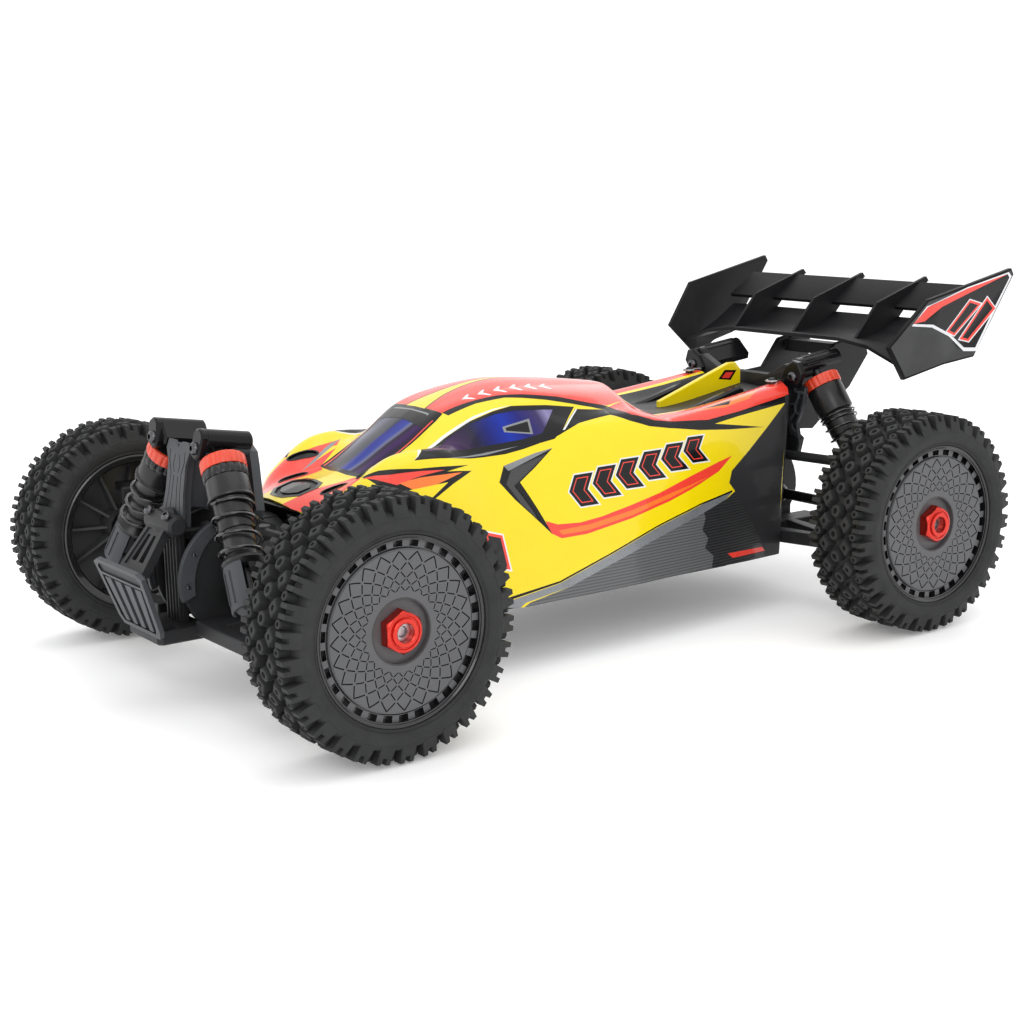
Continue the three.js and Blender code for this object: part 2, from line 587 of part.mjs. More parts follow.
function addWing() {
  const stations = [-WING_HALF, -66, -44, 0, 44, 66, WING_HALF];
  const towardTip = (y) => Math.max(Math.abs(y) - (WING_HALF - TIP_SPAN), 0) / TIP_SPAN;
  const towardFront = (x) => Math.max((x + 205) / 34, 0);
  const droop = (x, y) => towardTip(y) ** 2 * towardFront(x) * TIP_DROOP;
  const sheet = (chord) => thickSheet(
    chord.map(([x, z]) => stations.map((y) => vector(x, y, z - droop(x, y)))), -WING_THICKNESS);
  const fin = (y) => panel(
    WING_FIN.map(([x, z]) => [x, y - FIN_THICKNESS / 2, z]), vector(0, FIN_THICKNESS, 0));
  const ends = [1, -1].map((sign) => panel(
    END_PLATE.map(([x, y, z]) => [x, sign * (y - END_THICKNESS), z]), vector(0, sign * END_THICKNESS, 0)));
  const wing = join(sheet(WING_PLANE), sheet(WING_FLAP), ...ends, ...[-50, 0, 50].map(fin));
  add('wing', wing, MATERIALS.darkPlastic);

  const [inside, outside] = CHEEK_Y;
  const between = [-inside - 1, inside + 1];
  const mount = join(
    plate('xz', CHEEK, [inside, outside]),
    plate('xz', CHEEK, [-outside, -inside]),
    block([-162, -152.5], between, [98, 110]),
    block([-204, -194], between, [130, 137]),
  );
  add('wing_mount', mount, MATERIALS.darkPlastic);
}

// ---- Body shell ---------------------------------------------------------------------------------

// Each station is half a cross-section, from the centre line over the shoulder down to the lower edge.
const SHELL_THICKNESS = 1.2;
const SHELL_STATIONS = [
  // Nose edge.
  [[172, 0, 88], [171, 12, 87], [166, 24, 85], [158, 34, 84], [155, 42, 81], [152, 48, 76], [150, 50, 72]],
  // Middle of the hood.
  [[154, 0, 93], [153, 12, 92.5], [151, 24, 92], [148, 36, 95], [146, 44, 92], [142, 52, 80], [138, 55, 66]],
  // Windscreen foot, between the crests of the two wheel bulges.
  [[130, 0, 97.5], [129, 12, 97], [128, 21, 97.5], [127, 32, 105], [126, 41, 108], [120, 52, 92],
    [115, 58, 54]],
  // Middle of the windscreen.
  [[106, 0, 112.5], [105, 12, 112], [104, 22, 110], [103, 32, 107.5], [102, 42, 110], [98, 53, 90],
    [92, 61, 38]],
  // Windscreen head.
  [[83, 0, 126], [82, 12, 125.8], [81, 23, 124.5], [79, 33, 116], [77, 42, 105], [76, 52, 82], [76, 66, 32]],
  // Highest part of the roof.
  [[46, 0, 135], [46, 12, 134], [46, 25, 130], [46, 34, 120], [46, 42, 107], [44, 53, 82], [44, 66, 31]],
  // Middle of the roof.
  [[6, 0, 132.5], [6, 12, 131.5], [5, 26, 127], [4, 35, 119], [3, 44, 112], [1, 54, 84], [0, 66, 31]],
  // Rear edge of the roof.
  [[-27, 0, 128], [-26, 12, 127.5], [-25, 22, 124.5], [-24, 34, 118.5], [-24, 45, 113], [-27, 55, 84],
    [-30, 64, 31]],
  // Floor behind the roof.
  [[-42, 0, 112], [-42, 12, 112], [-42, 23, 111], [-43, 36, 110.5], [-44, 47, 109], [-46, 56, 84],
    [-48, 63, 31]],
  // Middle of the engine cover.
  [[-76, 0, 108.5], [-76, 12, 108.5], [-76, 23, 108.5], [-75, 36, 113], [-74, 45, 112], [-77, 54, 84],
    [-80, 60, 30]],
  // Rear edge.
  [[-137, 0, 117], [-137, 12, 116.5], [-137, 23, 116.5], [-136, 34, 121], [-135, 40, 119], [-126, 49, 76],
    [-115, 55, 29]],
];

const FIN_HALF = 1.5;
const SHELL_FIN = [[-76, 107.8], [-75, 112.5], [-133, 130.3], [-136.5, 117]];

function addShell() {
  const smooth = (points, perSpan) => {
    const curve = new THREE.CatmullRomCurve3(points, false, 'centripetal');
    const spans = points.length - 1;
    return Array.from({ length: spans * perSpan + 1 }, (_, i) => curve.getPoint(i / (spans * perSpan)));
  };
  const rows = SHELL_STATIONS.map((ring) => {
    const left = smooth(ring.map((p) => vector(...p)), 2);
    const right = left.slice(1).map((p) => vector(p.x, -p.y, p.z)).reverse();
    return [...right, ...left];
  });
  const skin = thickSheet(rows, SHELL_THICKNESS);
  const fin = panel(SHELL_FIN.map(([x, z]) => [x, -FIN_HALF, z]), vector(0, 2 * FIN_HALF, 0));
  add('body_shell', join(skin, fin), MATERIALS.yellowShell);
}

// ---- Assembly -----------------------------------------------------------------------------------

addSide('left', 1);
addSide('right', -1);
addSteering();
addChassis();
addGearboxes();
addDriveTrain();
addTowers();
addBumper();
addWing();
addShell();

export default buggy;
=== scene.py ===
"""A four-wheel-drive racing buggy: its looks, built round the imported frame.

Lengths are in millimetres in the buggy's own axes: +X forward, +Y to its left and +Z up.
Left-hand pieces are drawn, and right-hand ones are mirrored. Blender gets metres.
"""

import json
import math

import bmesh
import bpy
import numpy as np
from mathutils import Matrix, Vector
from mathutils.bvhtree import BVHTree
from mathutils.geometry import delaunay_2d_cdt

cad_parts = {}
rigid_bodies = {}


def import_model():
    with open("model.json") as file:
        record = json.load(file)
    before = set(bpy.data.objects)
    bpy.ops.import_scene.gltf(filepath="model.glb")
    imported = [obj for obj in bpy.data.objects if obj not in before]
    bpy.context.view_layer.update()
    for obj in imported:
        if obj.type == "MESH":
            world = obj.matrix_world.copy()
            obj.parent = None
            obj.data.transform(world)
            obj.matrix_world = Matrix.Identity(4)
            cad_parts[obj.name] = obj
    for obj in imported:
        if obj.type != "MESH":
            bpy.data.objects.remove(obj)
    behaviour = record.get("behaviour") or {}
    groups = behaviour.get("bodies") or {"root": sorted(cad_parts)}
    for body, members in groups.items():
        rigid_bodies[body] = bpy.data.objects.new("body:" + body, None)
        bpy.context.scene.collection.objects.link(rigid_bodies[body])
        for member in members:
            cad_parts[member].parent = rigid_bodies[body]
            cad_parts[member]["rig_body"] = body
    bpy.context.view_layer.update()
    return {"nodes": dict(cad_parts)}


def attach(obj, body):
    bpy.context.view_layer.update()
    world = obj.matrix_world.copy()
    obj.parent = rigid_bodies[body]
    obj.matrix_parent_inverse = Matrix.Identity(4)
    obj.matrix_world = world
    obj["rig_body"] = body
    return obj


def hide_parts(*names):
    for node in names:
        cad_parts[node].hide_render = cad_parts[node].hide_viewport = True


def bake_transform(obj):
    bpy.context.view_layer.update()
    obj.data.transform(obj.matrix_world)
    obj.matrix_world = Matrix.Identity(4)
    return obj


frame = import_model()

MM = 0.001
AXLE_HEIGHT = 57.6
TURN = 2 * math.pi
SIDES = {"left": 1, "right": -1}

# The four corners: where each axle is, and the plane and ends of its shock, as in the CAD part.
FRONT = {
    "name": "front", "axle_x": 190, "facing": 1, "lean": 9, "wheel_y": 132.4, "plane": 26.9,
    "top": (24, 59.4), "bottom": (76.5, -14.5),
}
REAR = {
    "name": "rear", "axle_x": -138, "facing": -1, "lean": 6.5, "wheel_y": 131.1, "plane": 26.7,
    "top": (41, 66.8), "bottom": (90, -13.2),
}


# ---- Materials --------------------------------------------------------------------------------------

COAT_ROUGHNESS = 0.04
NOISE_DETAIL = 3.0
NOISE_MIDDLE = (0.3, 0.7)
ROUGHNESS_DRIFT = 0.05
SMOOTHEST = 0.02
GRAIN_DEPTH = 0.08
RIB_DEPTH = 0.2
# A wave texture of scale 1 has this many radians to a metre.
WAVE_UNIT = 20


def set_inputs(node, inputs):
    """Gives each input of a node a value or another node's output."""
    for socket, source in inputs.items():
        if isinstance(source, bpy.types.NodeSocket):
            node.id_data.links.new(source, node.inputs[socket])
        else:
            node.inputs[socket].default_value = source
    return node


def add_node(tree, kind, inputs):
    """A new shader node with its inputs set."""
    return set_inputs(tree.nodes.new("ShaderNode" + kind), inputs)


def new_material(name, roughness, metallic=0.0, coat=0.0, shine=0.5):
    """A material with a Principled shader, and that shader's node."""
    material = bpy.data.materials.new(name)
    material.use_nodes = True
    shader = material.node_tree.nodes["Principled BSDF"]
    return material, set_inputs(shader, {
        "Roughness": roughness, "Metallic": metallic, "Coat Weight": coat,
        "Coat Roughness": COAT_ROUGHNESS, "Specular IOR Level": shine,
    })


def object_place(tree):
    """The output that gives a place in the object's own coordinates."""
    return tree.nodes.new("ShaderNodeTexCoord").outputs["Object"]


def noise(tree, size, stretch=(1, 1, 1)):
    """A noise in the object's own coordinates whose grains are about `size` millimetres."""
    mapping = add_node(tree, "Mapping", {"Vector": object_place(tree), "Scale": stretch})
    texture = add_node(tree, "TexNoise", {
        "Vector": mapping.outputs["Vector"], "Scale": 1 / (size * MM), "Detail": NOISE_DETAIL})
    return texture.outputs["Fac"]


def spread(tree, value, low, high):
    """Maps the middle of a noise onto low to high."""
    middle_low, middle_high = NOISE_MIDDLE
    node = add_node(tree, "MapRange", {
        "Value": value, "From Min": middle_low, "From Max": middle_high, "To Min": low, "To Max": high})
    return node.outputs["Result"]


def blend_colours(tree, factor, first, second):
    """A colour that runs from the first to the second as the factor goes from 0 to 1."""
    node = tree.nodes.new("ShaderNodeMix")
    node.data_type = "RGBA"
    return set_inputs(node, {"A": (*first, 1), "B": (*second, 1), "Factor": factor}).outputs["Result"]


def bump(tree, height, strength, depth):
    """The normal of a fine relief that is `depth` millimetres deep."""
    node = add_node(tree, "Bump", {"Height": height, "Strength": strength, "Distance": depth * MM})
    return node.outputs["Normal"]


def surface(
    name, colour, roughness, metallic=0.0, coat=0.0, grain=0.0, grain_size=0.6, mottle=0.12,
    patch=14, stretch=(1, 1, 1), shine=0.5,
):
    """One finish: colour that drifts in patches, roughness that varies, and a fine grain."""
    material, shader = new_material(name, roughness, metallic, coat, shine)
    tree = material.node_tree
    patches = spread(tree, noise(tree, patch), 0.0, 1.0)
    darker = [c * (1 - mottle) for c in colour]
    lighter = [min(1.0, c * (1 + mottle)) for c in colour]
    fine = noise(tree, grain_size, stretch)
    low, high = max(SMOOTHEST, roughness - ROUGHNESS_DRIFT), min(1.0, roughness + ROUGHNESS_DRIFT)
    set_inputs(shader, {
        "Base Color": blend_colours(tree, patches, darker, lighter),
        "Roughness": spread(tree, fine, low, high),
    })
    if grain:
        set_inputs(shader, {"Normal": bump(tree, fine, grain, GRAIN_DEPTH)})
    return material


def glass_print(name, stops, start, end):
    """Window film: a colour that runs from start to end, under gloss. Its stops hold a printed tint, and in
    the side window pale stops also paint a sheen.
    """
    material, shader = new_material(name, 0.18, coat=0.1, shine=0.16)
    tree = material.node_tree
    run = Vector(end) - Vector(start)
    dot = tree.nodes.new("ShaderNodeVectorMath")
    dot.operation = "DOT_PRODUCT"
    set_inputs(dot, {0: object_place(tree), 1: run / run.length_squared / MM})
    shift = add_node(tree, "Math", {0: dot.outputs["Value"], 1: -Vector(start).dot(run) / run.length_squared})
    ramp = add_node(tree, "ValToRGB", {"Fac": shift.outputs["Value"]})
    while len(ramp.color_ramp.elements) < len(stops):
        ramp.color_ramp.elements.new(0.5)
    for element, (position, colour) in zip(ramp.color_ramp.elements, stops):
        element.position = position
        element.color = (*colour, 1)
    set_inputs(shader, {
        "Base Color": ramp.outputs["Color"], "Roughness": spread(tree, noise(tree, 6), 0.12, 0.22)})
    return material


def carbon_weave(name, dark, light, size):
    """A printed twill weave: two fine stripes that cross, in the object's X and Z."""
    material, shader = new_material(name, 0.3, coat=0.6)
    tree = material.node_tree
    flat = add_node(tree, "Mapping", {
        "Vector": object_place(tree), "Scale": (1, 0, 1), "Location": (0, 0.1, 0),
        "Rotation": (0, math.radians(45), 0)})
    checker = add_node(tree, "TexChecker", {
        "Vector": flat.outputs["Vector"], "Scale": 1 / (size * MM),
        "Color1": (*dark, 1), "Color2": (*light, 1)})
    set_inputs(shader, {
        "Base Color": checker.outputs["Color"], "Roughness": spread(tree, noise(tree, 1.5), 0.24, 0.36)})
    return material


def fine_lines(name, dark, light, pitch):
    """Paint over a moulded patch of long fine ribs."""
    material, shader = new_material(name, 0.36, coat=0.35, shine=0.35)
    tree = material.node_tree
    wave = tree.nodes.new("ShaderNodeTexWave")
    wave.bands_direction = "Z"
    set_inputs(wave, {
        "Vector": object_place(tree), "Scale": TURN / (pitch * MM) / WAVE_UNIT, "Distortion": 0.0})
    lines = wave.outputs["Fac"]
    set_inputs(shader, {
        "Base Color": blend_colours(tree, lines, dark, light), "Normal": bump(tree, lines, 0.6, RIB_DEPTH),
        "Roughness": spread(tree, noise(tree, 2), 0.3, 0.42)})
    return material


RUBBER = surface(
    "rubber", (0.0155, 0.016, 0.0165), 0.74, grain=0.5, grain_size=0.5, mottle=0.25, patch=9, shine=0.42)
RIM_GREY = surface("rim_grey", (0.078, 0.079, 0.083), 0.5, grain=0.35, grain_size=0.35, mottle=0.06)
# Near-black floors for the rim's lattice grooves: painted shade in the recesses.
GROOVE_PAINTED_SHADE = surface("rim_groove_painted_shade", (0.012, 0.012, 0.013), 0.55, grain=0.2, shine=0.2)
RIM_BLACK = surface("rim_black", (0.008, 0.008, 0.009), 0.22, coat=0.3, mottle=0.1)
RED_METAL = surface(
    "red_metal", (0.6, 0.03, 0.018), 0.24, metallic=0.85, coat=0.3, grain=0.05, grain_size=0.25, mottle=0.05)
STEEL = surface(
    "steel", (0.4, 0.4, 0.41), 0.3, metallic=1.0, grain=0.15, grain_size=0.3, stretch=(1, 8, 1), mottle=0.08)
SCREW = surface("screw_black", (0.1, 0.1, 0.105), 0.28, metallic=1.0, grain=0.1, mottle=0.15, patch=3)
NYLON = surface(
    "nylon", (0.013, 0.0135, 0.015), 0.52, grain=0.35, grain_size=0.45, mottle=0.18, shine=0.35)
GREY_NYLON = surface(
    "grey_nylon", (0.043, 0.046, 0.051), 0.5, grain=0.35, grain_size=0.45, mottle=0.1, shine=0.35)
SATIN_BLACK = surface(
    "satin_black", (0.008, 0.008, 0.009), 0.3, grain=0.12, grain_size=0.5, mottle=0.1, shine=0.4)
CAP_BLACK = surface(
    "cap_black", (0.006, 0.006, 0.007), 0.24, grain=0.12, grain_size=0.5, mottle=0.1, shine=0.22)
STRAP = surface("battery_strap", (0.012, 0.012, 0.013), 0.85, grain=0.8, grain_size=0.9, mottle=0.3, patch=3)
GLOSS_BLACK = surface("gloss_black", (0.005, 0.005, 0.006), 0.12, coat=0.5, mottle=0.1)
BLACK_METAL = surface(
    "black_metal", (0.03, 0.03, 0.033), 0.32, metallic=0.9, grain=0.15, grain_size=0.25, stretch=(1, 6, 1))
ORANGE = surface("orange_plastic", (0.64, 0.046, 0.013), 0.38, coat=0.2, grain=0.2, mottle=0.06)
CASE = surface("electronics_case", (0.02, 0.022, 0.027), 0.35, coat=0.2, grain=0.2, mottle=0.1)
WRAP = surface("battery_wrap", (0.03, 0.06, 0.16), 0.25, coat=0.5, grain=0.15, grain_size=4, mottle=0.15)
WING_BLACK = surface(
    "wing_plastic", (0.0068, 0.0069, 0.008), 0.58, grain=0.3, grain_size=0.5, mottle=0.15, shine=0.16)
# A lighter grey than the wing's plastic: painted light on the end plates, where the key light falls on them.
WING_PLATE_PAINTED_LIGHT = surface(
    "wing_side_painted_light", (0.045, 0.0455, 0.047), 0.5, grain=0.3, grain_size=0.5, mottle=0.15, shine=0.3)


def paint(name, colour, coat=0.6, mottle=0.02, shine=0.3, roughness=0.3):
    """Gloss paint on the shell."""
    return surface("paint_" + name, colour, roughness, coat=coat, grain=0.03, mottle=mottle, shine=shine)


# The shell's finishes, in the order in which its mesh numbers them.
PAINT = {
    "yellow": paint("yellow", (0.8, 0.615, 0.0), coat=0.55, mottle=0.015),
    "red": paint("red", (0.78, 0.045, 0.026)),
    "orange": paint("orange", (0.85, 0.17, 0.018)),
    "black": paint("black", (0.004, 0.004, 0.005), coat=0.25, mottle=0.1, shine=0.2, roughness=0.22),
    "white": paint("white", (0.7, 0.71, 0.73), shine=0.5),
    "silver": surface("paint_silver", (0.2, 0.21, 0.22), 0.3, metallic=0.3, coat=0.6, grain=0.05),
    "matte": surface(
        "paint_matte", (0.013, 0.013, 0.015), 0.5, coat=0.1, grain=0.25, mottle=0.15, shine=0.35),
    "carbon": carbon_weave("paint_carbon", (0.008, 0.008, 0.009), (0.028, 0.028, 0.031), 0.8),
    "ribbed": fine_lines("paint_ribbed", (0.06, 0.062, 0.065), (0.12, 0.122, 0.126), 1.5),
    "lined": fine_lines("paint_lined", (0.004, 0.004, 0.0045), (0.03, 0.031, 0.033), 1.5),
    "screen": glass_print(
        "screen_film",
        [(0.0, (0.025, 0.027, 0.04)), (0.14, (0.1, 0.104, 0.165)), (0.34, (0.05, 0.052, 0.06)),
         (0.47, (0.02, 0.025, 0.045)), (0.52, (0.006, 0.01, 0.2)), (0.66, (0.012, 0.03, 0.26)),
         (0.72, (0.12, 0.125, 0.215)), (0.77, (0.01, 0.003, 0.015)), (0.86, (0.035, 0.006, 0.08)),
         (0.97, (0.006, 0.002, 0.01))],
        (104, -20, 0), (112, 20, 0)),
    # The pale lavender stops at 0.93 and 1.0 paint a sheen near the back of the side window; the other stops
    # are its printed tint.
    "window": glass_print(
        "window_film_and_sheen",
        [(0.0, (0.09, 0.012, 0.13)), (0.18, (0.035, 0.008, 0.06)), (0.36, (0.012, 0.01, 0.03)),
         (0.46, (0.008, 0.012, 0.13)), (0.6, (0.006, 0.025, 0.3)), (0.72, (0.012, 0.012, 0.14)),
         (0.86, (0.04, 0.03, 0.1)), (0.93, (0.22, 0.2, 0.36)), (1.0, (0.14, 0.12, 0.26))],
        (104, 0, 108), (24, 0, 124)),
}
PAINT_NAMES = list(PAINT)


# ---- Mesh tools -------------------------------------------------------------------------------------

TINY = 1e-6
WELD = 1e-4
SMOOTH_ANGLE = 32
# A bisector is stretched by no more than 1 over this when a ring is inset.
LEAST_BISECTOR = 0.35

# Directions for a flat ring's two axes and the depth of the plate that is made from it.
X, Y, Z = (1, 0, 0), (0, 1, 0), (0, 0, 1)
SIDE_ON = (X, Z, Y)
FLAT = (X, Y, Z)
END_ON = (Y, Z, X)


def volume_sign(points, faces):
    """Positive if the faces of a closed mesh point out."""
    total = 0.0
    for face in faces:
        a = points[face[0]]
        for i in range(1, len(face) - 1):
            total += np.dot(a, np.cross(points[face[i]], points[face[i + 1]]))
    return total


class Part:
    """Points and faces of one piece, in millimetres, each face with a material index."""

    def __init__(self):
        self.points = np.zeros((0, 3))
        self.faces = []
        self.surfaces = []

    def add(self, points, faces, material=0):
        """Adds a closed mesh, facing out. The material is one index, or a list with one for each face."""
        points = np.asarray(points, float).reshape(-1, 3)
        if volume_sign(points, faces) < 0:
            faces = [tuple(reversed(f)) for f in faces]
        offset = len(self.points)
        self.points = np.vstack([self.points, points])
        self.faces += [tuple(i + offset for i in f) for f in faces]
        self.surfaces += material if isinstance(material, list) else [material] * len(faces)
        return self

    def moved(self, matrix):
        """A copy carried by a 4x4 matrix, mirrored faces turned round."""
        matrix = np.array(matrix, float)
        copy = Part()
        copy.points = self.points @ matrix[:3, :3].T + matrix[:3, 3]
        mirrored = np.linalg.det(matrix[:3, :3]) < 0
        copy.faces = [tuple(reversed(f)) for f in self.faces] if mirrored else list(self.faces)
        copy.surfaces = list(self.surfaces)
        return copy

    def join(self, other):
        """Adds another part's points and faces."""
        offset = len(self.points)
        self.points = np.vstack([self.points, other.points])
        self.faces += [tuple(i + offset for i in f) for f in other.faces]
        self.surfaces += other.surfaces
        return self

    def show(self, name, body, slot, materials, replaces=(), sharp=SMOOTH_ANGLE):
        """Makes the Blender object, riding on a CAD body."""
        mesh = bpy.data.meshes.new(name)
        mesh.from_pydata((self.points * MM).tolist(), [], self.faces)
        for material in materials:
            mesh.materials.append(material)
        mesh.polygons.foreach_set("material_index", self.surfaces)
        mesh.polygons.foreach_set("use_smooth", [True] * len(self.faces))
        mesh.set_sharp_from_angle(angle=math.radians(sharp))
        mesh.update()
        piece = bpy.data.objects.new(name, mesh)
        bpy.context.scene.collection.objects.link(piece)
        if body:
            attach(piece, body)
        if replaces:
            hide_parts(*replaces)
        return piece


MIRROR = Matrix.Diagonal((1, -1, 1, 1))


def doubled(part):
    """A left-hand part with its mirror image."""
    return Part().join(part).join(part.moved(MIRROR))


def both_sides(part, name, slot, materials):
    """Shows a left-hand part and its mirror image in place of CAD pieces. Each {} stands for the side."""
    for side in SIDES:
        copy = part if side == "left" else part.moved(MIRROR)
        node = name.format(side)
        copy.show(node + "_full", node, slot, materials, [node])


def revolved(profile, count, material=0):
    """A turned solid about Y, from (radius, y) pairs. A third member is a function of the angle that
    scales that radius."""
    points, rings = [], []
    for radius, y, *shape in profile:
        if radius < TINY:
            rings.append([len(points)] * count)
            points.append((0, y, 0))
            continue
        rings.append(list(range(len(points), len(points) + count)))
        for i in range(count):
            angle = TURN * i / count
            r = radius * shape[0](angle) if shape else radius
            points.append((r * math.cos(angle), y, r * math.sin(angle)))
    closed = profile[0][0] > TINY and profile[-1][0] > TINY
    pairs = list(zip(rings, rings[1:])) + ([(rings[-1], rings[0])] if closed else [])
    faces = []
    for low, high in pairs:
        for i in range(count):
            j = (i + 1) % count
            corners = [low[i], low[j], high[j], high[i]]
            face = [c for k, c in enumerate(corners) if c != corners[k - 1]]
            if len(face) > 2:
                faces.append(tuple(face))
    return Part().add(points, faces, material)


def polygon_radius(sides, phase=0.0):
    """The radius of a regular polygon with apothem 1 at an angle."""
    step = TURN / sides
    return lambda angle: 1 / math.cos((angle - phase + step / 2) % step - step / 2)


def prism(ring, axes, start, depth, bevel=0.0, material=0):
    """A plate from a flat ring of (u, v) points. axes are the directions of u, of v and of the depth,
    and both rims are chamfered by `bevel`."""
    u, v, w = (np.array(axis, float) for axis in axes)
    outline = np.array(ring, float)
    layers = [(outline, 0.0), (outline, depth)]
    if bevel:
        inner = inset(outline, bevel)
        layers = [(inner, 0.0), (outline, bevel), (outline, depth - bevel), (inner, depth)]
    points = []
    for layer, height in layers:
        points += [np.array(start, float) + u * a + v * b + w * height for a, b in layer]
    n = len(outline)
    faces = [tuple(range(n))[::-1], tuple(range(n * (len(layers) - 1), n * len(layers)))]
    for k in range(len(layers) - 1):
        for i in range(n):
            j = (i + 1) % n
            faces.append((k * n + i, k * n + j, (k + 1) * n + j, (k + 1) * n + i))
    return Part().add(points, faces, material)


def inset(ring, distance):
    """A ring moved inwards by a distance along its corners' bisectors."""
    before, after = np.roll(ring, 1, 0), np.roll(ring, -1, 0)
    a, b = ring - before, after - ring
    a, b = a / np.linalg.norm(a, axis=1)[:, None], b / np.linalg.norm(b, axis=1)[:, None]
    normal_a, normal_b = np.stack([-a[:, 1], a[:, 0]], 1), np.stack([-b[:, 1], b[:, 0]], 1)
    area = np.sum(ring[:, 0] * after[:, 1] - ring[:, 1] * after[:, 0])
    bisector = normal_a + normal_b
    length = np.maximum(np.sum(bisector * normal_a, 1), LEAST_BISECTOR)
    return ring + (distance if area > 0 else -distance) * bisector / length[:, None]


def mirrored_ring(half):
    """A closed ring from its left half, given as (y, v) points from one end to the other."""
    return half + [(-y, v) for y, v in reversed(half)]


def arc(centre, radius, start, end, count):
    """Points on an arc, in degrees."""
    angles = np.radians(np.linspace(start, end, count))
    return [(centre[0] + radius * math.cos(a), centre[1] + radius * math.sin(a)) for a in angles]


def circle(radius, count, centre=(0, 0)):
    """A closed ring of points."""
    return arc(centre, radius, 0, 360 * (count - 1) / count, count)


def counter_clockwise(ring):
    """The ring, turned round if it runs clockwise."""
    area = sum(a[0] * b[1] - b[0] * a[1] for a, b in zip(ring, list(ring[1:]) + [ring[0]]))
    return list(ring) if area > 0 else list(reversed(ring))


def region_triangles(regions, lattice):
    """Triangulates regions that lie on one another: the points, the triangles, and the number of the
    region on top of each triangle, or None where there is none or it is a hole."""
    flat, rings = [], []
    for ring, _, _ in regions:
        rings.append(list(range(len(flat), len(flat) + len(ring))))
        flat += [Vector((float(p[0]), float(p[1]))) for p in counter_clockwise(ring)]
    flat += [Vector((float(p[0]), float(p[1]))) for p in lattice]
    verts, _, triangles, _, _, sources = delaunay_2d_cdt(flat, [], rings, 1, WELD)
    top = [max(s) if s else None for s in sources]
    return verts, triangles, [None if k is None or regions[k][1] is None else k for k in top]


def relief(regions, place, back, lattice=(), back_material=None):
    """A plate with stepped regions. Each region is (ring, depth, material), a depth of None cuts a
    hole, and later regions lie on earlier ones. place(uv, depths) gives the points in space."""
    back_material = regions[0][2] if back_material is None else back_material
    verts, triangles, level = region_triangles(regions, lattice)
    edge_owner = {}
    for t, triangle in enumerate(triangles):
        if level[t] is not None:
            for i in range(3):
                edge_owner[(triangle[i], triangle[(i + 1) % 3])] = t
    index, order = {}, []

    def corner(v, depth):
        """The number of the point at a corner and a depth."""
        if (v, depth) not in index:
            index[(v, depth)] = len(order)
            order.append((v, depth))
        return index[(v, depth)]

    faces, surfaces = [], []
    for t, triangle in enumerate(triangles):
        if level[t] is None:
            continue
        _, depth, material = regions[level[t]]
        faces.append(tuple(corner(v, depth) for v in triangle))
        faces.append(tuple(corner(v, back) for v in reversed(triangle)))
        surfaces += [material, back_material]
        for i in range(3):
            a, b = triangle[i], triangle[(i + 1) % 3]
            other = edge_owner.get((b, a))
            low = back if other is None else regions[level[other]][1]
            if low > depth:
                faces.append((corner(b, depth), corner(a, depth), corner(a, low), corner(b, low)))
                outer = material if back_material == regions[0][2] else back_material
                surfaces.append(outer if other is None else regions[max(level[t], level[other])][2])
    uv = np.array([verts[v][:] for v, _ in order])
    points = place(uv, np.array([d for _, d in order], float))
    return Part().add(points, faces, surfaces)


def flat_place(u, v, front):
    """A place() for relief: a plane with axes u and v, whose depth runs behind `front`."""
    u, v = np.array(u, float), np.array(v, float)
    normal = np.cross(u, v)
    return lambda uv, depth: (
        np.array(front, float) + uv[:, :1] * u + uv[:, 1:] * v - depth[:, None] * normal)


# ---- Wheels -----------------------------------------------------------------------------------------

TREAD_COUNT = 30
TYRE_RADIUS = 57.6
CROWN = 52.6
CROWN_HALF_WIDTH, CROWN_DROP = 16, 1.6


def crown_radius(y):
    """The tyre casing's radius at a distance from the middle of its tread."""
    return CROWN - CROWN_DROP * (abs(y) / CROWN_HALF_WIDTH) ** 3


def casing():
    """The tyre without its tread: two ribbed sidewalls and a rounded crown."""
    outer = [
        (39.4, 17.0), (41.2, 17.1), (41.5, 18.6), (42.2, 19.2), (42.9, 18.9), (43.4, 19.4), (44.3, 19.9),
        (45.2, 20.0), (46.6, 20.5), (48.4, 20.4), (49.8, 19.7), (50.6, 18.4), (51.0, 16.4),
    ]
    crown = [(crown_radius(y), y) for y in np.linspace(15, -15, 11)]
    profile = outer + crown + [(r, -y) for r, y in reversed(outer)]
    return revolved(profile, 120)


def tread_block(width, length, top, sides, hole):
    """A block of tread on the Y axis, y being its height above the casing, with a round pit."""
    shape = polygon_radius(sides, math.pi / sides)
    half, root = width / 2, -2.2
    profile = [
        (0, root), (half + 0.6, root, shape), (half, top * 0.55, shape), (half - 0.25, top - 0.35, shape),
        (half - 0.6, top, shape), (hole, top), (hole * 0.8, top - 1.9), (0, top - 2.1),
    ]
    part = revolved(profile, 16)
    part.points[:, 0] *= length / width
    return part


def shoulder_lug():
    """A block at the tyre's shoulder, slotted in its tread side and leaning in towards its top."""
    ring = [(-3.7, 48.5), (3.7, 48.5), (3.3, 57.0), (1.2, 57.0), (0.9, 53.9), (-0.9, 53.9), (-1.2, 57.0),
            (-3.3, 57.0)]
    lug = prism(ring, SIDE_ON, (0, 12.2, 0), 8.0, bevel=0.3)
    height = lug.points[:, 2] - 50
    outside = lug.points[:, 1] > CROWN_HALF_WIDTH
    lean, flare = 0.34, 0.2
    lug.points[outside, 1] -= np.clip(height[outside], 0, 7) * lean
    lug.points[outside, 1] += np.clip(-height[outside], 0, 2) * flare
    return lug


def round_the_tyre(part, template, phase, y=0.0, radius=0.0):
    """Copies a template, whose height is along Z, to places round the tyre."""
    for i in range(TREAD_COUNT):
        turned = Matrix.Rotation(TURN * (i + phase) / TREAD_COUNT, 4, "Y")
        part.join(template.moved(turned @ Matrix.Translation((0, y, radius))))


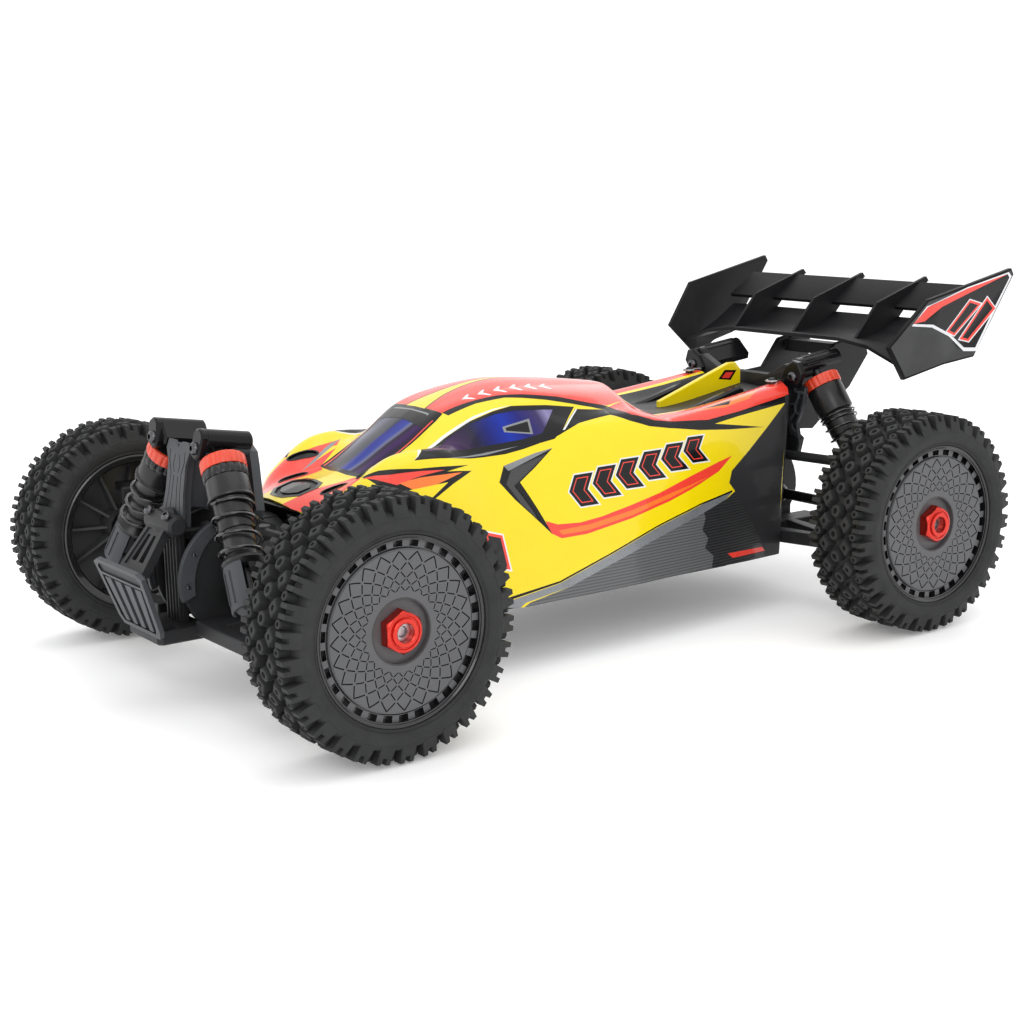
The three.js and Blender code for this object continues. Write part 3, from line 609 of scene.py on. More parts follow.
def tyre():
    """The casing with five rows of pitted blocks and two of shoulder lugs."""
    part = casing()
    lug = shoulder_lug()
    upright = Matrix.Rotation(math.pi / 2, 4, "X")
    pin = tread_block(4.7, 4.7, 5.2, 8, 1.0).moved(upright)
    block = tread_block(5.4, 6.6, 5.0, 4, 1.05).moved(upright)
    centre = tread_block(6.0, 6.4, TYRE_RADIUS - CROWN, 8, 1.5).moved(upright)
    pin_row, block_row = 12.2, 7.2
    for side, mirror in ((1, Matrix.Identity(4)), (-1, MIRROR)):
        round_the_tyre(part, lug.moved(mirror), 0)
        round_the_tyre(part, pin, 0.5, side * pin_row, crown_radius(pin_row) - 0.5)
        round_the_tyre(part, block, 0.02, side * block_row, crown_radius(block_row) - 0.1)
    round_the_tyre(part, centre, 0.5, 0, CROWN)
    return part


RIM_FRONT = 16.9
RIM_PLATE = 4.5
LATTICE_ARMS = 24
LATTICE_OUTER, LATTICE_INNER = 34.2, 16.2
# How far a spiral turns, in radians, while its radius falls to 1/e of what it was.
LATTICE_SWEEP = 0.95
# The share of a step that is left flat at a crossing, and the grooves' depth and half width: what it is
# at least, and how much it gains out to the lattice's edge.
LATTICE_GAP = 0.13
GROOVE_DEPTH = 0.7
GROOVE_HALF, GROOVE_GAIN = 0.14, 0.15


def lattice_grooves():
    """Two families of crossing spirals, broken where they cross, that shrink towards the hub."""
    step = math.pi / LATTICE_ARMS / LATTICE_SWEEP
    grooves = []
    for turn in (1, -1):
        for arm in range(LATTICE_ARMS):
            level = 0.0
            while LATTICE_OUTER * math.exp(-level) > LATTICE_INNER + 1:
                radius = LATTICE_OUTER * math.exp(-level)
                gap = LATTICE_GAP if level else 0.0
                a, b = level + step * gap, level + step * (1 - LATTICE_GAP)
                half = GROOVE_HALF + GROOVE_GAIN * radius / LATTICE_OUTER
                ring = []
                for t, sign in ((a, 1), ((a + b) / 2, 1), (b, 1), (b, -1), ((a + b) / 2, -1), (a, -1)):
                    r = LATTICE_OUTER * math.exp(-t)
                    angle = turn * LATTICE_SWEEP * t + TURN * arm / LATTICE_ARMS
                    across = angle + turn * sign * half / r * 0.72
                    r += sign * half * 0.7
                    ring.append((r * math.cos(across), r * math.sin(across)))
                # Material 1 darkens each groove's floor: painted shade.
                grooves.append((ring, GROOVE_DEPTH, 1))
                level += step
    return grooves


def rim():
    """The dished wheel with its slots, lattice, spokes and stub axle. Materials: 0 grey, 1 groove floors
    darkened as painted shade, 2 gloss black, 3 steel."""
    slots = []
    for i in range(TREAD_COUNT):
        middle, half = 360 * i / TREAD_COUNT, 3.5
        inner = arc((0, 0), 36.1, middle - half, middle + half, 4)
        outer = arc((0, 0), 39.3, middle + half, middle - half, 4)
        slots.append((inner + outer, 3.6, 2))
    regions = [
        (circle(39.5, 120), 0.9, 0), (circle(35.9, 120), 2.2, 2), (circle(35.2, 120), 0.25, 0),
        (circle(34.7, 120), 0.0, 0), *slots, *lattice_grooves(), (circle(14.6, 72), 0.0, 2),
        (circle(13.9, 72), 2.8, 0),
    ]
    part = relief(regions, flat_place(Z, X, (0, RIM_FRONT, 0)), RIM_PLATE)
    barrel = [
        (36.8, 12.6), (39.3, 13.0), (39.3, 16.6), (39.7, 17.9), (40.4, 18.5), (41.1, 18.3), (41.3, 17.6),
        (39.0, 17.3), (39.0, -17.5), (41.2, -17.8), (41.2, -18.8), (40.4, -19.2), (37.6, -18.8),
        (36.8, -17.8),
    ]
    part.join(revolved(barrel, 120, material=2))
    hub = [(4.6, 14.0), (8.8, 14.0), (8.8, -3.0), (10.0, -3.4), (10.0, -7.6), (5.0, -8.0), (4.6, -4.0)]
    part.join(revolved(hub, 48, material=0))
    spoke = prism([(9, 9.5), (36.9, 12.6), (36.9, 10.0), (9, 2.0)], FLAT, (0, 0, -0.7), 1.4)
    spokes = 10
    for i in range(spokes):
        part.join(spoke.moved(Matrix.Rotation(TURN * i / spokes, 4, "Y")))
    stub = [(0, -21), (4.4, -21), (4.4, 16.6), (3.9, 17.2), (2.6, 17.2), (2.2, 15.5), (0, 15.5)]
    part.join(revolved(stub, 36, material=3))
    return part


def wheel_nut():
    """A hexagonal nut with a turned, chamfered face and a raised collar."""
    hexagon, apothem = polygon_radius(6), 8.49

    def flank(limit, y):
        """A ring of the hexagon with its corners turned down to a radius."""
        return (limit, y, lambda angle: min(apothem * hexagon(angle), limit) / limit)

    flanks = [flank(9.9, 14.4), flank(9.9, 17.9), flank(9.5, 18.4), flank(9.0, 18.9), flank(8.6, 19.3),
              flank(8.1, 19.6)]
    collar = [(7.3, 19.7), (7.0, 19.3), (6.6, 19.3), (6.3, 20.3), (5.9, 20.6), (4.6, 20.6), (4.2, 20.3),
              (4.0, 17.2), (4.4, 14.4)]
    return revolved(flanks + collar, 72)


def build_wheels():
    """The four tyres, rims and nuts, each on its wheel's body."""
    pieces = {
        "tyre": (tyre(), "tyre", [RUBBER]),
        # The rim's second finish darkens its groove floors: painted shade.
        "rim": (rim(), "rim_plastic", [RIM_GREY, GROOVE_PAINTED_SHADE, RIM_BLACK, STEEL]),
        "wheel_nut": (wheel_nut(), "red_anodised", [RED_METAL]),
    }
    for module in (FRONT, REAR):
        for side, sign in SIDES.items():
            place = Matrix.Diagonal((1, sign, 1, 1)) @ Matrix.Translation(
                (module["axle_x"], module["wheel_y"], AXLE_HEIGHT))
            corner = f"{module['name']}_{side}"
            for name, (part, slot, materials) in pieces.items():
                part.moved(place).show(
                    f"{corner}_{name}_full", f"{corner}_wheel", slot, materials, [f"{corner}_{name}"], 28)


# ---- Body shell -------------------------------------------------------------------------------------

SHELL_THICKNESS = 1.2

# Cross-sections from the nose to the tail, each from the centre line down to the left edge.
SHELL_STATIONS = [
    [[172, 0, 88], [171, 12, 87], [166, 24, 85], [158, 34, 84], [155, 42, 81], [152, 48, 76],
     [150, 50, 72]],
    [[154, 0, 93], [153, 12, 92.5], [151, 24, 92], [148, 36, 95], [146, 44, 92], [142, 52, 80],
     [138, 55, 66]],
    [[130, 0, 97.5], [129, 12, 97], [128, 21, 97.5], [127, 32, 105], [126, 41, 108], [120, 52, 92],
     [115, 58, 54]],
    [[106, 0, 112.5], [105, 12, 112], [104, 22, 110], [103, 32, 107.5], [102, 42, 110], [98, 53, 90],
     [92, 61, 38]],
    [[83, 0, 126], [82, 12, 125.8], [81, 23, 124.5], [79, 33, 116], [77, 42, 105], [76, 52, 82],
     [76, 66, 32]],
    [[46, 0, 135], [46, 12, 134], [46, 25, 130], [46, 34, 120], [46, 42, 107], [44, 53, 82], [44, 66, 31]],
    [[6, 0, 132.5], [6, 12, 131.5], [5, 26, 127], [4, 35, 119], [3, 44, 112], [1, 54, 84], [0, 66, 31]],
    [[-27, 0, 128], [-26, 12, 127.5], [-25, 22, 124.5], [-24, 34, 118.5], [-24, 45, 113], [-27, 55, 84],
     [-30, 64, 31]],
    [[-42, 0, 112], [-42, 12, 112], [-42, 23, 111], [-43, 36, 110.5], [-44, 47, 109], [-46, 56, 84],
     [-48, 63, 31]],
    [[-76, 0, 108.5], [-76, 12, 108.5], [-76, 23, 108.5], [-75, 36, 113], [-74, 45, 112], [-77, 54, 84],
     [-80, 60, 30]],
    [[-137, 0, 117], [-137, 12, 116.5], [-137, 23, 116.5], [-136, 34, 121], [-135, 40, 119], [-126, 49, 76],
     [-115, 55, 29]],
]
# The stations where the surface may turn sharply.
CREASES = [0, 7, 8, 10]
# About how far apart stations and points are, which makes u and v about even on the surface.
LENGTH_UNIT, ACROSS_UNIT = 30.0, 12.0
SHELL_LENGTH = (len(SHELL_STATIONS) - 1) * LENGTH_UNIT
SHELL_HALF = (len(SHELL_STATIONS[0]) - 1) * ACROSS_UNIT
SHELL_STEPS = 12
GLASS_DEPTH = 0.12
DRAPE_SPACING = 4.0
EDGE_REACH = 0.4
SAME_PLACE = 1e-5


def spline(rows, at):
    """Centripetal Catmull-Rom through rows of points, at positions counted in spans."""
    rows = np.asarray(rows, float)
    rows = np.concatenate([[2 * rows[0] - rows[1]], rows, [2 * rows[-1] - rows[-2]]])
    spans = len(rows) - 3
    k = np.clip(np.floor(at).astype(int), 0, spans - 1)
    p = [rows[k + i] for i in range(4)]
    gaps = [np.maximum(np.linalg.norm(p[i + 1] - p[i], axis=-1), TINY)[..., None] ** 0.5 for i in range(3)]
    knot = [np.zeros_like(gaps[0])]
    for gap in gaps:
        knot.append(knot[-1] + gap)
    fraction = (at - k).reshape([-1] + [1] * (p[0].ndim - 1))
    t = knot[1] + fraction * (knot[2] - knot[1])

    def mix(a, b, i, j):
        """The point at t on the line that passes a at knot i and b at knot j."""
        return (a * (knot[j] - t) + b * (t - knot[i])) / (knot[j] - knot[i])

    a = [mix(p[i], p[i + 1], i, i + 1) for i in range(3)]
    b = [mix(a[i], a[i + 1], i, i + 2) for i in range(2)]
    return mix(b[0], b[1], 1, 2)


def without_spikes(ring):
    """Drops doubled corners, and corners where a ring turns straight back along itself."""
    ring = [Vector(p) for p in ring]
    i = 0
    while i < len(ring):
        step, turn = ring[i] - ring[i - 1], ring[(i + 1) % len(ring)] - ring[i]
        turned_back = abs(step.cross(turn)) < TINY * max(step.length, turn.length) and step.dot(turn) < 0
        if step.length < SAME_PLACE or turned_back:
            del ring[i]
            i = max(0, i - 2)
        else:
            i += 1
    return [tuple(p) for p in ring]


class ShellSurface:
    """The shell's inside face: u runs along it from the nose, and v across it from the centre line."""

    def __init__(self):
        steps = SHELL_STEPS
        spans_across = len(SHELL_STATIONS[0]) - 1
        across = np.linspace(0, spans_across, spans_across * steps + 1)
        rings = np.array([spline(ring, across) for ring in SHELL_STATIONS])
        pieces = []
        for first, last in zip(CREASES, CREASES[1:]):
            at = np.linspace(0, last - first, (last - first) * steps + 1)
            if last - first > 1:
                segment = np.stack([spline(rings[first:last + 1, j], at) for j in range(rings.shape[1])], 1)
            else:
                weight = at[:, None, None]
                segment = rings[first] * (1 - weight) + rings[last] * weight
            pieces.append(segment if not pieces else segment[1:])
        half = np.concatenate(pieces)
        mirrored = half[:, :0:-1] * np.array([1, -1, 1])
        self.grid = np.concatenate([mirrored, half], 1)
        self.middle = half.shape[1] - 1
        lengthwise, sideways = np.gradient(self.grid, axis=0), np.gradient(self.grid, axis=1)
        normals = np.cross(lengthwise, sideways)
        normals /= np.linalg.norm(normals, axis=2)[..., None]
        self.normals = normals if normals[len(normals) // 2, self.middle, 2] > 0 else -normals
        rows, columns = self.grid.shape[:2]
        self.columns = columns
        quads = [(i * columns + j, (i + 1) * columns + j, (i + 1) * columns + j + 1, i * columns + j + 1)
                 for i in range(rows - 1) for j in range(columns - 1)]
        triangles = [t for a, b, c, d in quads for t in ((a, b, c), (a, c, d))]
        self.tree = BVHTree.FromPolygons(self.grid.reshape(-1, 3).tolist(), triangles)
        self.triangles = triangles

    def sample(self, field, uv):
        """A field's values at places, between those at the grid's corners."""
        last_row, last_column = self.grid.shape[0] - 1, self.columns - 1
        i = np.clip(uv[:, 0] / LENGTH_UNIT * SHELL_STEPS, 0, last_row - TINY)
        j = np.clip(uv[:, 1] / ACROSS_UNIT * SHELL_STEPS + self.middle, 0, last_column - TINY)
        a, b = i.astype(int), j.astype(int)
        s, t = (i - a)[:, None], (j - b)[:, None]
        low = field[a, b] * (1 - t) + field[a, b + 1] * t
        high = field[a + 1, b] * (1 - t) + field[a + 1, b + 1] * t
        return low * (1 - s) + high * s

    def place(self, uv, depth):
        """Points in space at a depth below the outside face."""
        normals = self.sample(self.normals, uv)
        normals /= np.linalg.norm(normals, axis=1)[:, None]
        return self.sample(self.grid, uv) - normals * (depth[:, None] - SHELL_THICKNESS)

    def locate(self, point):
        """The (u, v) of the surface point that is nearest to a point in space."""
        where, _, index, _ = self.tree.find_nearest(Vector(point))
        corners = self.triangles[index]
        p = [self.grid.reshape(-1, 3)[c] for c in corners]
        e0, e1, e2 = p[1] - p[0], p[2] - p[0], np.array(where) - p[0]
        m = np.array([[e0 @ e0, e0 @ e1], [e0 @ e1, e1 @ e1]])
        s, t = np.linalg.solve(m + np.eye(2) * TINY ** 2, np.array([e0 @ e2, e1 @ e2]))
        ij = [np.array(divmod(c, self.columns), float) for c in corners]
        i, j = ij[0] + s * (ij[1] - ij[0]) + t * (ij[2] - ij[0])
        return i / SHELL_STEPS * LENGTH_UNIT, (j - self.middle) / SHELL_STEPS * ACROSS_UNIT

    def drape(self, ring):
        """Lays a closed ring of points in space onto the surface."""
        laid = []
        for a, b in zip(ring, ring[1:] + ring[:1]):
            a, b = Vector(a), Vector(b)
            count = max(1, math.ceil((b - a).length / DRAPE_SPACING))
            laid += [snapped(*self.locate(a.lerp(b, k / count))) for k in range(count)]
        return without_spikes(laid)


def snapped(u, v):
    """Moves a place that is close to the shell's tail or side edge onto it."""
    u = SHELL_LENGTH if SHELL_LENGTH - u < EDGE_REACH else u
    v = math.copysign(SHELL_HALF, v) if SHELL_HALF - abs(v) < EDGE_REACH else v
    return u, v


# Outlines of the left half's graphics: [x, y, z] places, laid on the nearest point of the shell.
WINDSCREEN = [
    (131.5, 0, 96.5), (131.5, 8, 96.5), (130, 21, 97.5), (119, 22.5, 102), (109, 23, 107), (97, 23, 114),
    (88, 23.5, 121), (84, 23, 124.5), (84.5, 8, 125), (84.5, 0, 125),
]
SCREEN_GLASS = [
    (128.5, 0, 98), (128, 17.5, 98.3), (109, 20, 107.5), (97, 20.5, 115), (94, 20.5, 117), (93.5, 0, 119.4),
]
ARCH_TOP = [
    (82, 25, 123), (66, 25.5, 127.5), (49, 26.5, 129), (39, 28, 128), (25, 30, 126), (11, 32, 123),
    (-1, 34, 120), (-7, 36, 118),
]
ROOF_RED = [
    (84.5, 0, 125), (84, 22, 124.5), (69, 23.3, 128.3), (52, 24.3, 130), (38, 26, 129.3), (17, 28.5, 126.5),
    (-2, 31.5, 121.5), (-12, 33.5, 119.5), (-27, 30, 121), (-27, 0, 128),
]
ROOF_STRIPE = [(85, 0, 125), (85, 8.5, 125), (71, 4.5, 130.5), (58, 2.4, 133), (40, 1, 135), (20, 0, 135)]
SHOULDER_LOW = [
    (-12, 34.5, 119), (-21, 43, 115), (-33, 46, 111), (-46, 47, 109), (-69, 48, 108), (-93, 46, 110),
    (-117, 44, 113), (-135, 42, 115),
]
SIDE_WINDOW = [
    (116, 45, 107), (97, 33, 109.5), (90, 32, 113), (74, 31, 120), (59, 30.2, 123.5), (48, 30, 125),
    (27, 31.5, 123.5), (10, 33, 121), (24, 42, 112), (30, 43, 108), (39, 43, 107), (50, 43, 105),
    (61, 43.5, 104), (83, 43.5, 104), (98, 45.5, 106),
]
SIDE_GLASS = [
    (106, 42, 109), (89, 33.5, 113.5), (75, 32.3, 119), (59, 31.7, 122.3), (47, 32, 123), (24, 33.8, 121.5),
    (36, 41, 111.5), (48, 40.5, 109.5), (70, 40, 108.5), (90, 41, 108),
]
INTAKE = [
    (33, 45, 104), (64, 45.5, 98.5), (69, 48, 91), (62, 52, 82), (44, 58, 63), (50, 55, 76), (57, 49.5, 90),
    (46, 47.5, 96),
]
SIDE_STRIPE = [
    (47, 56, 70), (45, 58, 64), (39, 59, 60.5), (23, 59, 60.5), (-6, 59, 64.5), (-33, 58, 70), (-54, 57, 76),
    (-70, 55, 81), (-82, 53, 88), (-71, 54, 86), (-48, 57, 81), (-27, 57, 75), (-7, 57, 71), (12, 58, 68),
    (26, 57, 66.5), (40, 57, 67.5),
]
SILVER_TOP = [
    (84, 64, 34), (44, 64, 39), (11, 62.5, 48), (-24, 60.5, 58), (-53, 59, 65), (-70, 57.5, 68.5),
    (-79, 57, 69),
]
SILVER_LOW = [(74, 66, 32), (38, 65, 36.5), (5, 63, 45), (-31, 61, 54.5), (-56, 59, 61), (-73, 57, 65.5)]
JAGGED = [(-57, 59.5, 58), (-54, 60, 52), (-58, 60.5, 47), (-55, 60.5, 42), (-61, 60.5, 37), (-59, 61, 31)]
REAR_EDGE = [
    (-133, 43, 113), (-112, 47, 99), (-96, 51, 89), (-80, 54, 80), (-77, 56, 74), (-81, 56, 69),
    (-84, 56, 64), (-91, 56, 54), (-98, 56, 42), (-103, 56.5, 30),
]


def oval(middle, along, half_length, half_width):
    """A ring round `middle` with blunt ends, long in the X-Y direction `along`."""
    x, y = np.array(along) / np.hypot(*along)
    count, bluntness = 14, 0.6
    ring = []
    for i in range(count):
        lengthwise = math.cos(TURN * i / count)
        a = half_length * math.copysign(abs(lengthwise) ** bluntness, lengthwise)
        b = half_width * math.sin(TURN * i / count)
        ring.append((middle[0] + a * x - b * y, middle[1] + a * y + b * x, middle[2]))
    return ring


def chevron(x, z, height, shrink):
    """An arrowhead bar on the shell's left side that points forward; `shrink` moves its edges in."""
    width, point, slant, side_y = 11.5, 5.5, 0.5, 53
    front = np.array([(x, z), (x + point, z + height / 2), (x + slant, z + height)])
    ring = np.concatenate([front, front[::-1] - (width, 0)])
    return [(a, side_y, b) for a, b in inset(ring, shrink)]


def bonnet(lay, across):
    """Red shoulders either side of a yellow stripe, four oval vents and a middle one."""
    lay("red", [(170, 12, 88), (154, 13, 93), (143, 14, 94), (132, 15, 96), (129, 21, 97.5), (118, 26, 104),
                (111, 33, 107), (121, 31.5, 106), (129, 32.5, 104), (141, 37, 99), (150, 35, 94),
                (158, 33, 84), (168, 22, 85)])
    lay("silver", [(140, 23.5, 95), (118, 31, 106), (110, 33.8, 107), (118, 28.8, 105), (130, 24.8, 100)])
    lay("yellow", [(130, 25, 100), (112, 27, 106.5), (118, 28.6, 105)])
    for middle, along, length, width in (
        ((134, 32, 101), (12, 4), 7.6, 2.4), ((146, 20.5, 93), (13, 1.5), 7.6, 2.2),
    ):
        lay("matte", oval(middle, along, length + 0.9, width + 0.8), -0.25)
        lay("black", oval(middle, along, length, width), 0.7)
    across("black", [(168, 0, 90), (167, 6, 90), (161, 13, 91), (151, 13.5, 94), (145, 8, 94),
                     (144.5, 0, 94)], -0.2)
    across("matte", [(166, 0, 90), (165, 5, 90), (160, 11, 91), (151.5, 11.5, 94), (147, 7, 94),
                     (146.5, 0, 94)], 0.7)
    across("black", [(163, 0, 90), (162, 4, 90), (159, 8, 91), (153, 8.4, 94), (150.4, 5, 94),
                     (150, 0, 94)])
    lay("black", [(140, 37, 100.5), (132, 43, 104), (115, 48, 103.7), (96, 48, 102.7), (85, 46, 101.7),
                  (100, 49, 100.5), (84, 47.5, 99), (98, 52, 95), (113, 54, 88), (132, 48, 92)])
    lay("red", [(141, 38, 99.5), (130, 45.5, 102), (114, 48.5, 102.5), (101, 49, 101.5), (116, 50, 100.5),
                (128, 48, 97)])
    lay("orange", [(127, 48.5, 98), (116, 50, 99.8), (102, 50, 99.6), (91, 48.5, 99), (101, 51.5, 97.4),
                   (118, 52, 93)])
    lay("yellow", [(126, 50, 94), (112, 52, 95.5), (101, 51.8, 96), (112, 54, 90), (122, 53, 86)])


def windscreen(lay, across):
    """Printed glass in a black frame, a line under its header and a red line along each pillar."""
    across("black", WINDSCREEN)
    across("screen", SCREEN_GLASS, GLASS_DEPTH)
    lay("red", [(129, 19.8, 98.5), (109, 21.9, 107.5), (97, 22, 115), (89, 22.4, 121), (89, 21.6, 121),
                (97, 21.2, 115), (109, 21.1, 107.5), (129, 18.8, 98.5)])
    across("silver", [(87.6, 0, 123), (87.6, 15, 122.6), (88.2, 16, 122.4), (87, 16, 123),
                      (86.8, 14.6, 123.4), (86.9, 0, 123.6)])


def roof(lay, across):
    """Red with a black edge, a yellow stripe that tapers backwards and a row of small arrowheads."""
    lay("black", [(84, 21, 124.5)] + ARCH_TOP + [(-12, 34, 119), (-2, 30, 122), (17, 27, 127),
                                                 (52, 23, 130.5)])
    across("red", ROOF_RED)
    across("black", [(x, y + 0.9 if y else 0, z) for x, y, z in ROOF_STRIPE])
    across("yellow", ROOF_STRIPE)
    for x in np.arange(70, 20, -9.5):
        lay("white", [(x, 19.5, 130), (x - 5, 16.5, 131.5), (x - 6.4, 16.5, 131.5), (x - 3.5, 19.5, 130.2),
                      (x - 6.5, 22.5, 129), (x - 5, 22.5, 129)])


def side_window(lay, across):
    """A black surround, a white upper line, printed glass and the black wedge behind."""
    lay("black", SIDE_WINDOW)
    lay("white", [(116, 45, 107), (98, 33.5, 109.3), (90, 32, 113.2), (71, 30.6, 121), (58, 30, 124),
                  (47, 29.6, 125.2), (58, 29.3, 124.4), (71, 29.7, 122), (90, 30.8, 114.5), (99, 31.5, 110)])
    # The side window's film carries a painted sheen near its back edge.
    lay("window", SIDE_GLASS, GLASS_DEPTH)
    lay("silver", [(57.5, 36.3, 116.4), (40.5, 35.5, 118.6), (41.5, 40.6, 111.6), (57.5, 37.6, 113.8)],
        GLASS_DEPTH)
    lay("black", [(56, 36.7, 115.8), (42, 36.3, 117.5), (42.8, 39.8, 112.4), (56, 37.3, 114.2)],
        GLASS_DEPTH)
    lay("black", [(10, 34, 120), (-7, 36, 118), (-8, 41, 116), (13, 41.5, 114), (29, 43, 109), (24, 42, 112)])
    lay("white", [(10, 34.4, 120), (8.8, 34.4, 120), (22.6, 42.3, 112), (24, 42.3, 112)])
    lay("silver", [(98, 45.5, 106), (72, 43, 106.3), (52, 42.5, 107), (72, 43.6, 105.2)])


def shoulder(lay, across):
    """The red shoulder line with its inlay, black below it, and the dark engine cover inside it."""
    lay("black", [(-7, 35.5, 118.5)] + SHOULDER_LOW + [
        (-131, 43.5, 111), (-92, 47, 107.7), (-73, 49, 105.7), (-110, 47.5, 100), (-82, 49.5, 101.7),
        (-61, 50.3, 103.7), (-41, 49.5, 106.7), (-28, 48, 109), (-17, 45, 112.5), (-8, 41, 116)])
    lay("red", [(-26.5, 30, 121), (-42, 34, 111), (-58, 36, 111.5), (-75, 35, 113), (-106, 33, 117),
                (-137, 32, 121)] + SHOULDER_LOW[::-1])
    lay("orange", [(-62, 44, 112), (-80, 41.5, 114.5), (-100, 40, 116.5), (-118, 38, 119), (-104, 42, 114.8),
                   (-84, 44.5, 112.3)])
    lay("black", [(-68, 43.4, 112.8), (-92, 41.6, 115.4), (-88, 43.6, 113.4)])
    across("matte", [(-27.5, 0, 127), (-28, 28, 121), (-42, 32, 111), (-58, 33.5, 111), (-75, 33, 112.5),
                     (-106, 31, 116), (-137, 30, 120.5), (-137, 0, 117)])


def side(lay, across):
    """A row of arrowhead bars, a tapering stripe, the intake, the lower panel and a badge."""
    for k in range(6):
        x, z, tall = 24 - 15.2 * k, 73.5 + 2.75 * k, 17.0 - 0.55 * k
        for colour, shrink in (("white", -0.7), ("black", 0.0), ("red", 1.7), ("black", 2.2)):
            lay(colour, chevron(x, z, tall, shrink))
    lay("red", SIDE_STRIPE)
    lay("orange", [(40, 58, 64.5), (38, 59, 62.3), (22, 59, 62.3), (-8, 59, 66.3), (-34, 58, 71.8),
                   (-62, 56, 79.3), (-34, 57, 73.8), (-8, 58, 68.6), (20, 58, 65)])
    lay("black", INTAKE, 0.15)
    lay("carbon", [(37, 46, 102), (60, 46.5, 96.5), (65, 49, 90), (59, 53, 80), (49.5, 56, 69.5),
                   (53, 54, 77), (60, 50, 89), (49, 48, 95)], 0.75)
    lay("silver", [(64, 45.5, 98.5), (44, 44.5, 102.5), (33, 45, 104), (50, 46.5, 99.5), (62, 47, 96)], -0.1)
    lay("ribbed", SILVER_LOW[1:-1] + JAGGED + [(-30, 64, 31), (0, 66, 31), (44, 66, 31), (72, 66, 31.5)])
    lay("lined", SILVER_LOW[-2:] + REAR_EDGE[5:] + JAGGED[::-1])
    lay("matte", REAR_EDGE + [(-115, 55, 29), (-120, 51, 65), (-128, 46, 97)])
    lay("silver", SILVER_TOP + SILVER_LOW[::-1])
    lay("black", [(84, 64, 36), (44, 64, 40.2), (11, 62.5, 49), (-24, 60.5, 59), (-53, 59, 66),
                  (-79, 57, 70), (-79, 57, 69), (-53, 59, 65.2), (-24, 60.5, 58.2), (11, 62.5, 48.2),
                  (44, 64, 39.2), (84, 64, 34.4)])
    lay("red", [(-72, 60, 36.5), (-101, 57.5, 35.5), (-103, 57.5, 33), (-76, 60.5, 33.5)])
    badge = np.array([(85, 71), (73, 67.5), (71.5, 49), (83.5, 52)], float)
    for colour, shrink in (("white", 0.0), ("red", 0.8), ("matte", 2.2)):
        lay(colour, [(x, 74 - 0.24 * z, z) for x, z in inset(badge, shrink)])


def shell_regions(skin):
    """Paint, windows and vents, in the order in which they are laid. A depth above 0 is sunk."""
    whole = [(0, -SHELL_HALF), (SHELL_LENGTH, -SHELL_HALF), (SHELL_LENGTH, SHELL_HALF), (0, SHELL_HALF)]
    regions = [(whole, 0.0, PAINT_NAMES.index("yellow"))]

    def lay(colour, ring, depth=0.0, mirror=True):
        """A ring given on the left side, and its mirror image."""
        laid = skin.drape(ring)
        regions.append((laid, depth, PAINT_NAMES.index(colour)))
        if mirror:
            regions.append(([(u, -v) for u, v in reversed(laid)], depth, PAINT_NAMES.index(colour)))

    def across(colour, ring, depth=0.0):
        """A ring given by its left half, which crosses the centre line."""
        lay(colour, ring + [(x, -y, z) for x, y, z in reversed(ring)], depth, mirror=False)

    for area in (bonnet, windscreen, roof, side_window, shoulder, side):
        area(lay, across)

    # The rim along the back stays black from the shoulder down.
    rim_start, rim_top = SHELL_LENGTH - 1.6, 50.0
    strip = [(rim_start, rim_top), (SHELL_LENGTH, rim_top), (SHELL_LENGTH, SHELL_HALF),
             (rim_start, SHELL_HALF)]
    for sign in SIDES.values():
        regions.append(([(u, sign * v) for u, v in strip], 0.0, PAINT_NAMES.index("matte")))
    return regions


def fin_and_scoops():
    """The yellow fin on the engine cover, with its mark, and a long dark scoop each side of it."""
    yellow, black, red = (PAINT_NAMES.index(name) for name in ("yellow", "black", "red"))
    ring = [(-75, 106.5), (-75, 113), (-127, 130.2), (-132.5, 130.2), (-136.4, 126), (-136.4, 116)]
    part = prism(ring, SIDE_ON, (0, -1.5, 0), 3.0, bevel=0.5, material=yellow)
    film = 0.3
    for points, face, material in (
        ([(-119, 121.5), (-124, 126.4), (-133, 125.6), (-128.5, 120.2)], 1.52, black),
        ([(-121.6, 122), (-124.8, 125), (-130.4, 124.6), (-127.4, 121.4)], 1.6, red),
    ):
        part.join(doubled(prism(points, SIDE_ON, (0, face - film, 0), film, material=material)))
    outline = [(-73, 107), (-75, 109.4), (-116, 119.8), (-119.5, 118.8), (-121, 112)]
    return part.join(doubled(prism(outline, SIDE_ON, (0, 18.4, 0), 4.6, bevel=1.2, material=black)))


def body_clips():
    """A post tip and a wire clip at the back of each red shoulder."""
    x, y, foot, clip_height = -129, 35, 119, 122.8
    tip = revolved([(0, 0), (2.4, 0), (2.2, 4.6), (1.4, 5.4), (0, 5.6)], 24)
    part = tip.moved(Matrix.Translation((x, y, foot)) @ Matrix.Rotation(math.pi / 2, 4, "X"))
    loop = arc((x, y), 3.4, -150, 150, 12) + [(-136, 36.4), (-139, 35)]
    part.join(tube([(*place, clip_height) for place in loop], 0.55, material=1))
    return doubled(part)


def build_shell():
    """The painted shell with its fin and scoops, and the clips that hold it."""
    skin = ShellSurface()
    du, dv = 2.5, 1.5
    lattice = [(u, v) for u in np.arange(du, SHELL_LENGTH, du)
               for v in np.arange(dv - SHELL_HALF, SHELL_HALF - 1, dv)]
    inside = PAINT_NAMES.index("matte")
    part = relief(shell_regions(skin), skin.place, SHELL_THICKNESS, lattice, inside)
    part.join(fin_and_scoops())
    body_clips().show("body_clips", "shell", "screw_steel", [SATIN_BLACK, STEEL])
    part.show("shell_painted", "shell", "shell_paint", list(PAINT.values()), ["body_shell"], 40)


# ---- Shocks and springs -----------------------------------------------------------------------------

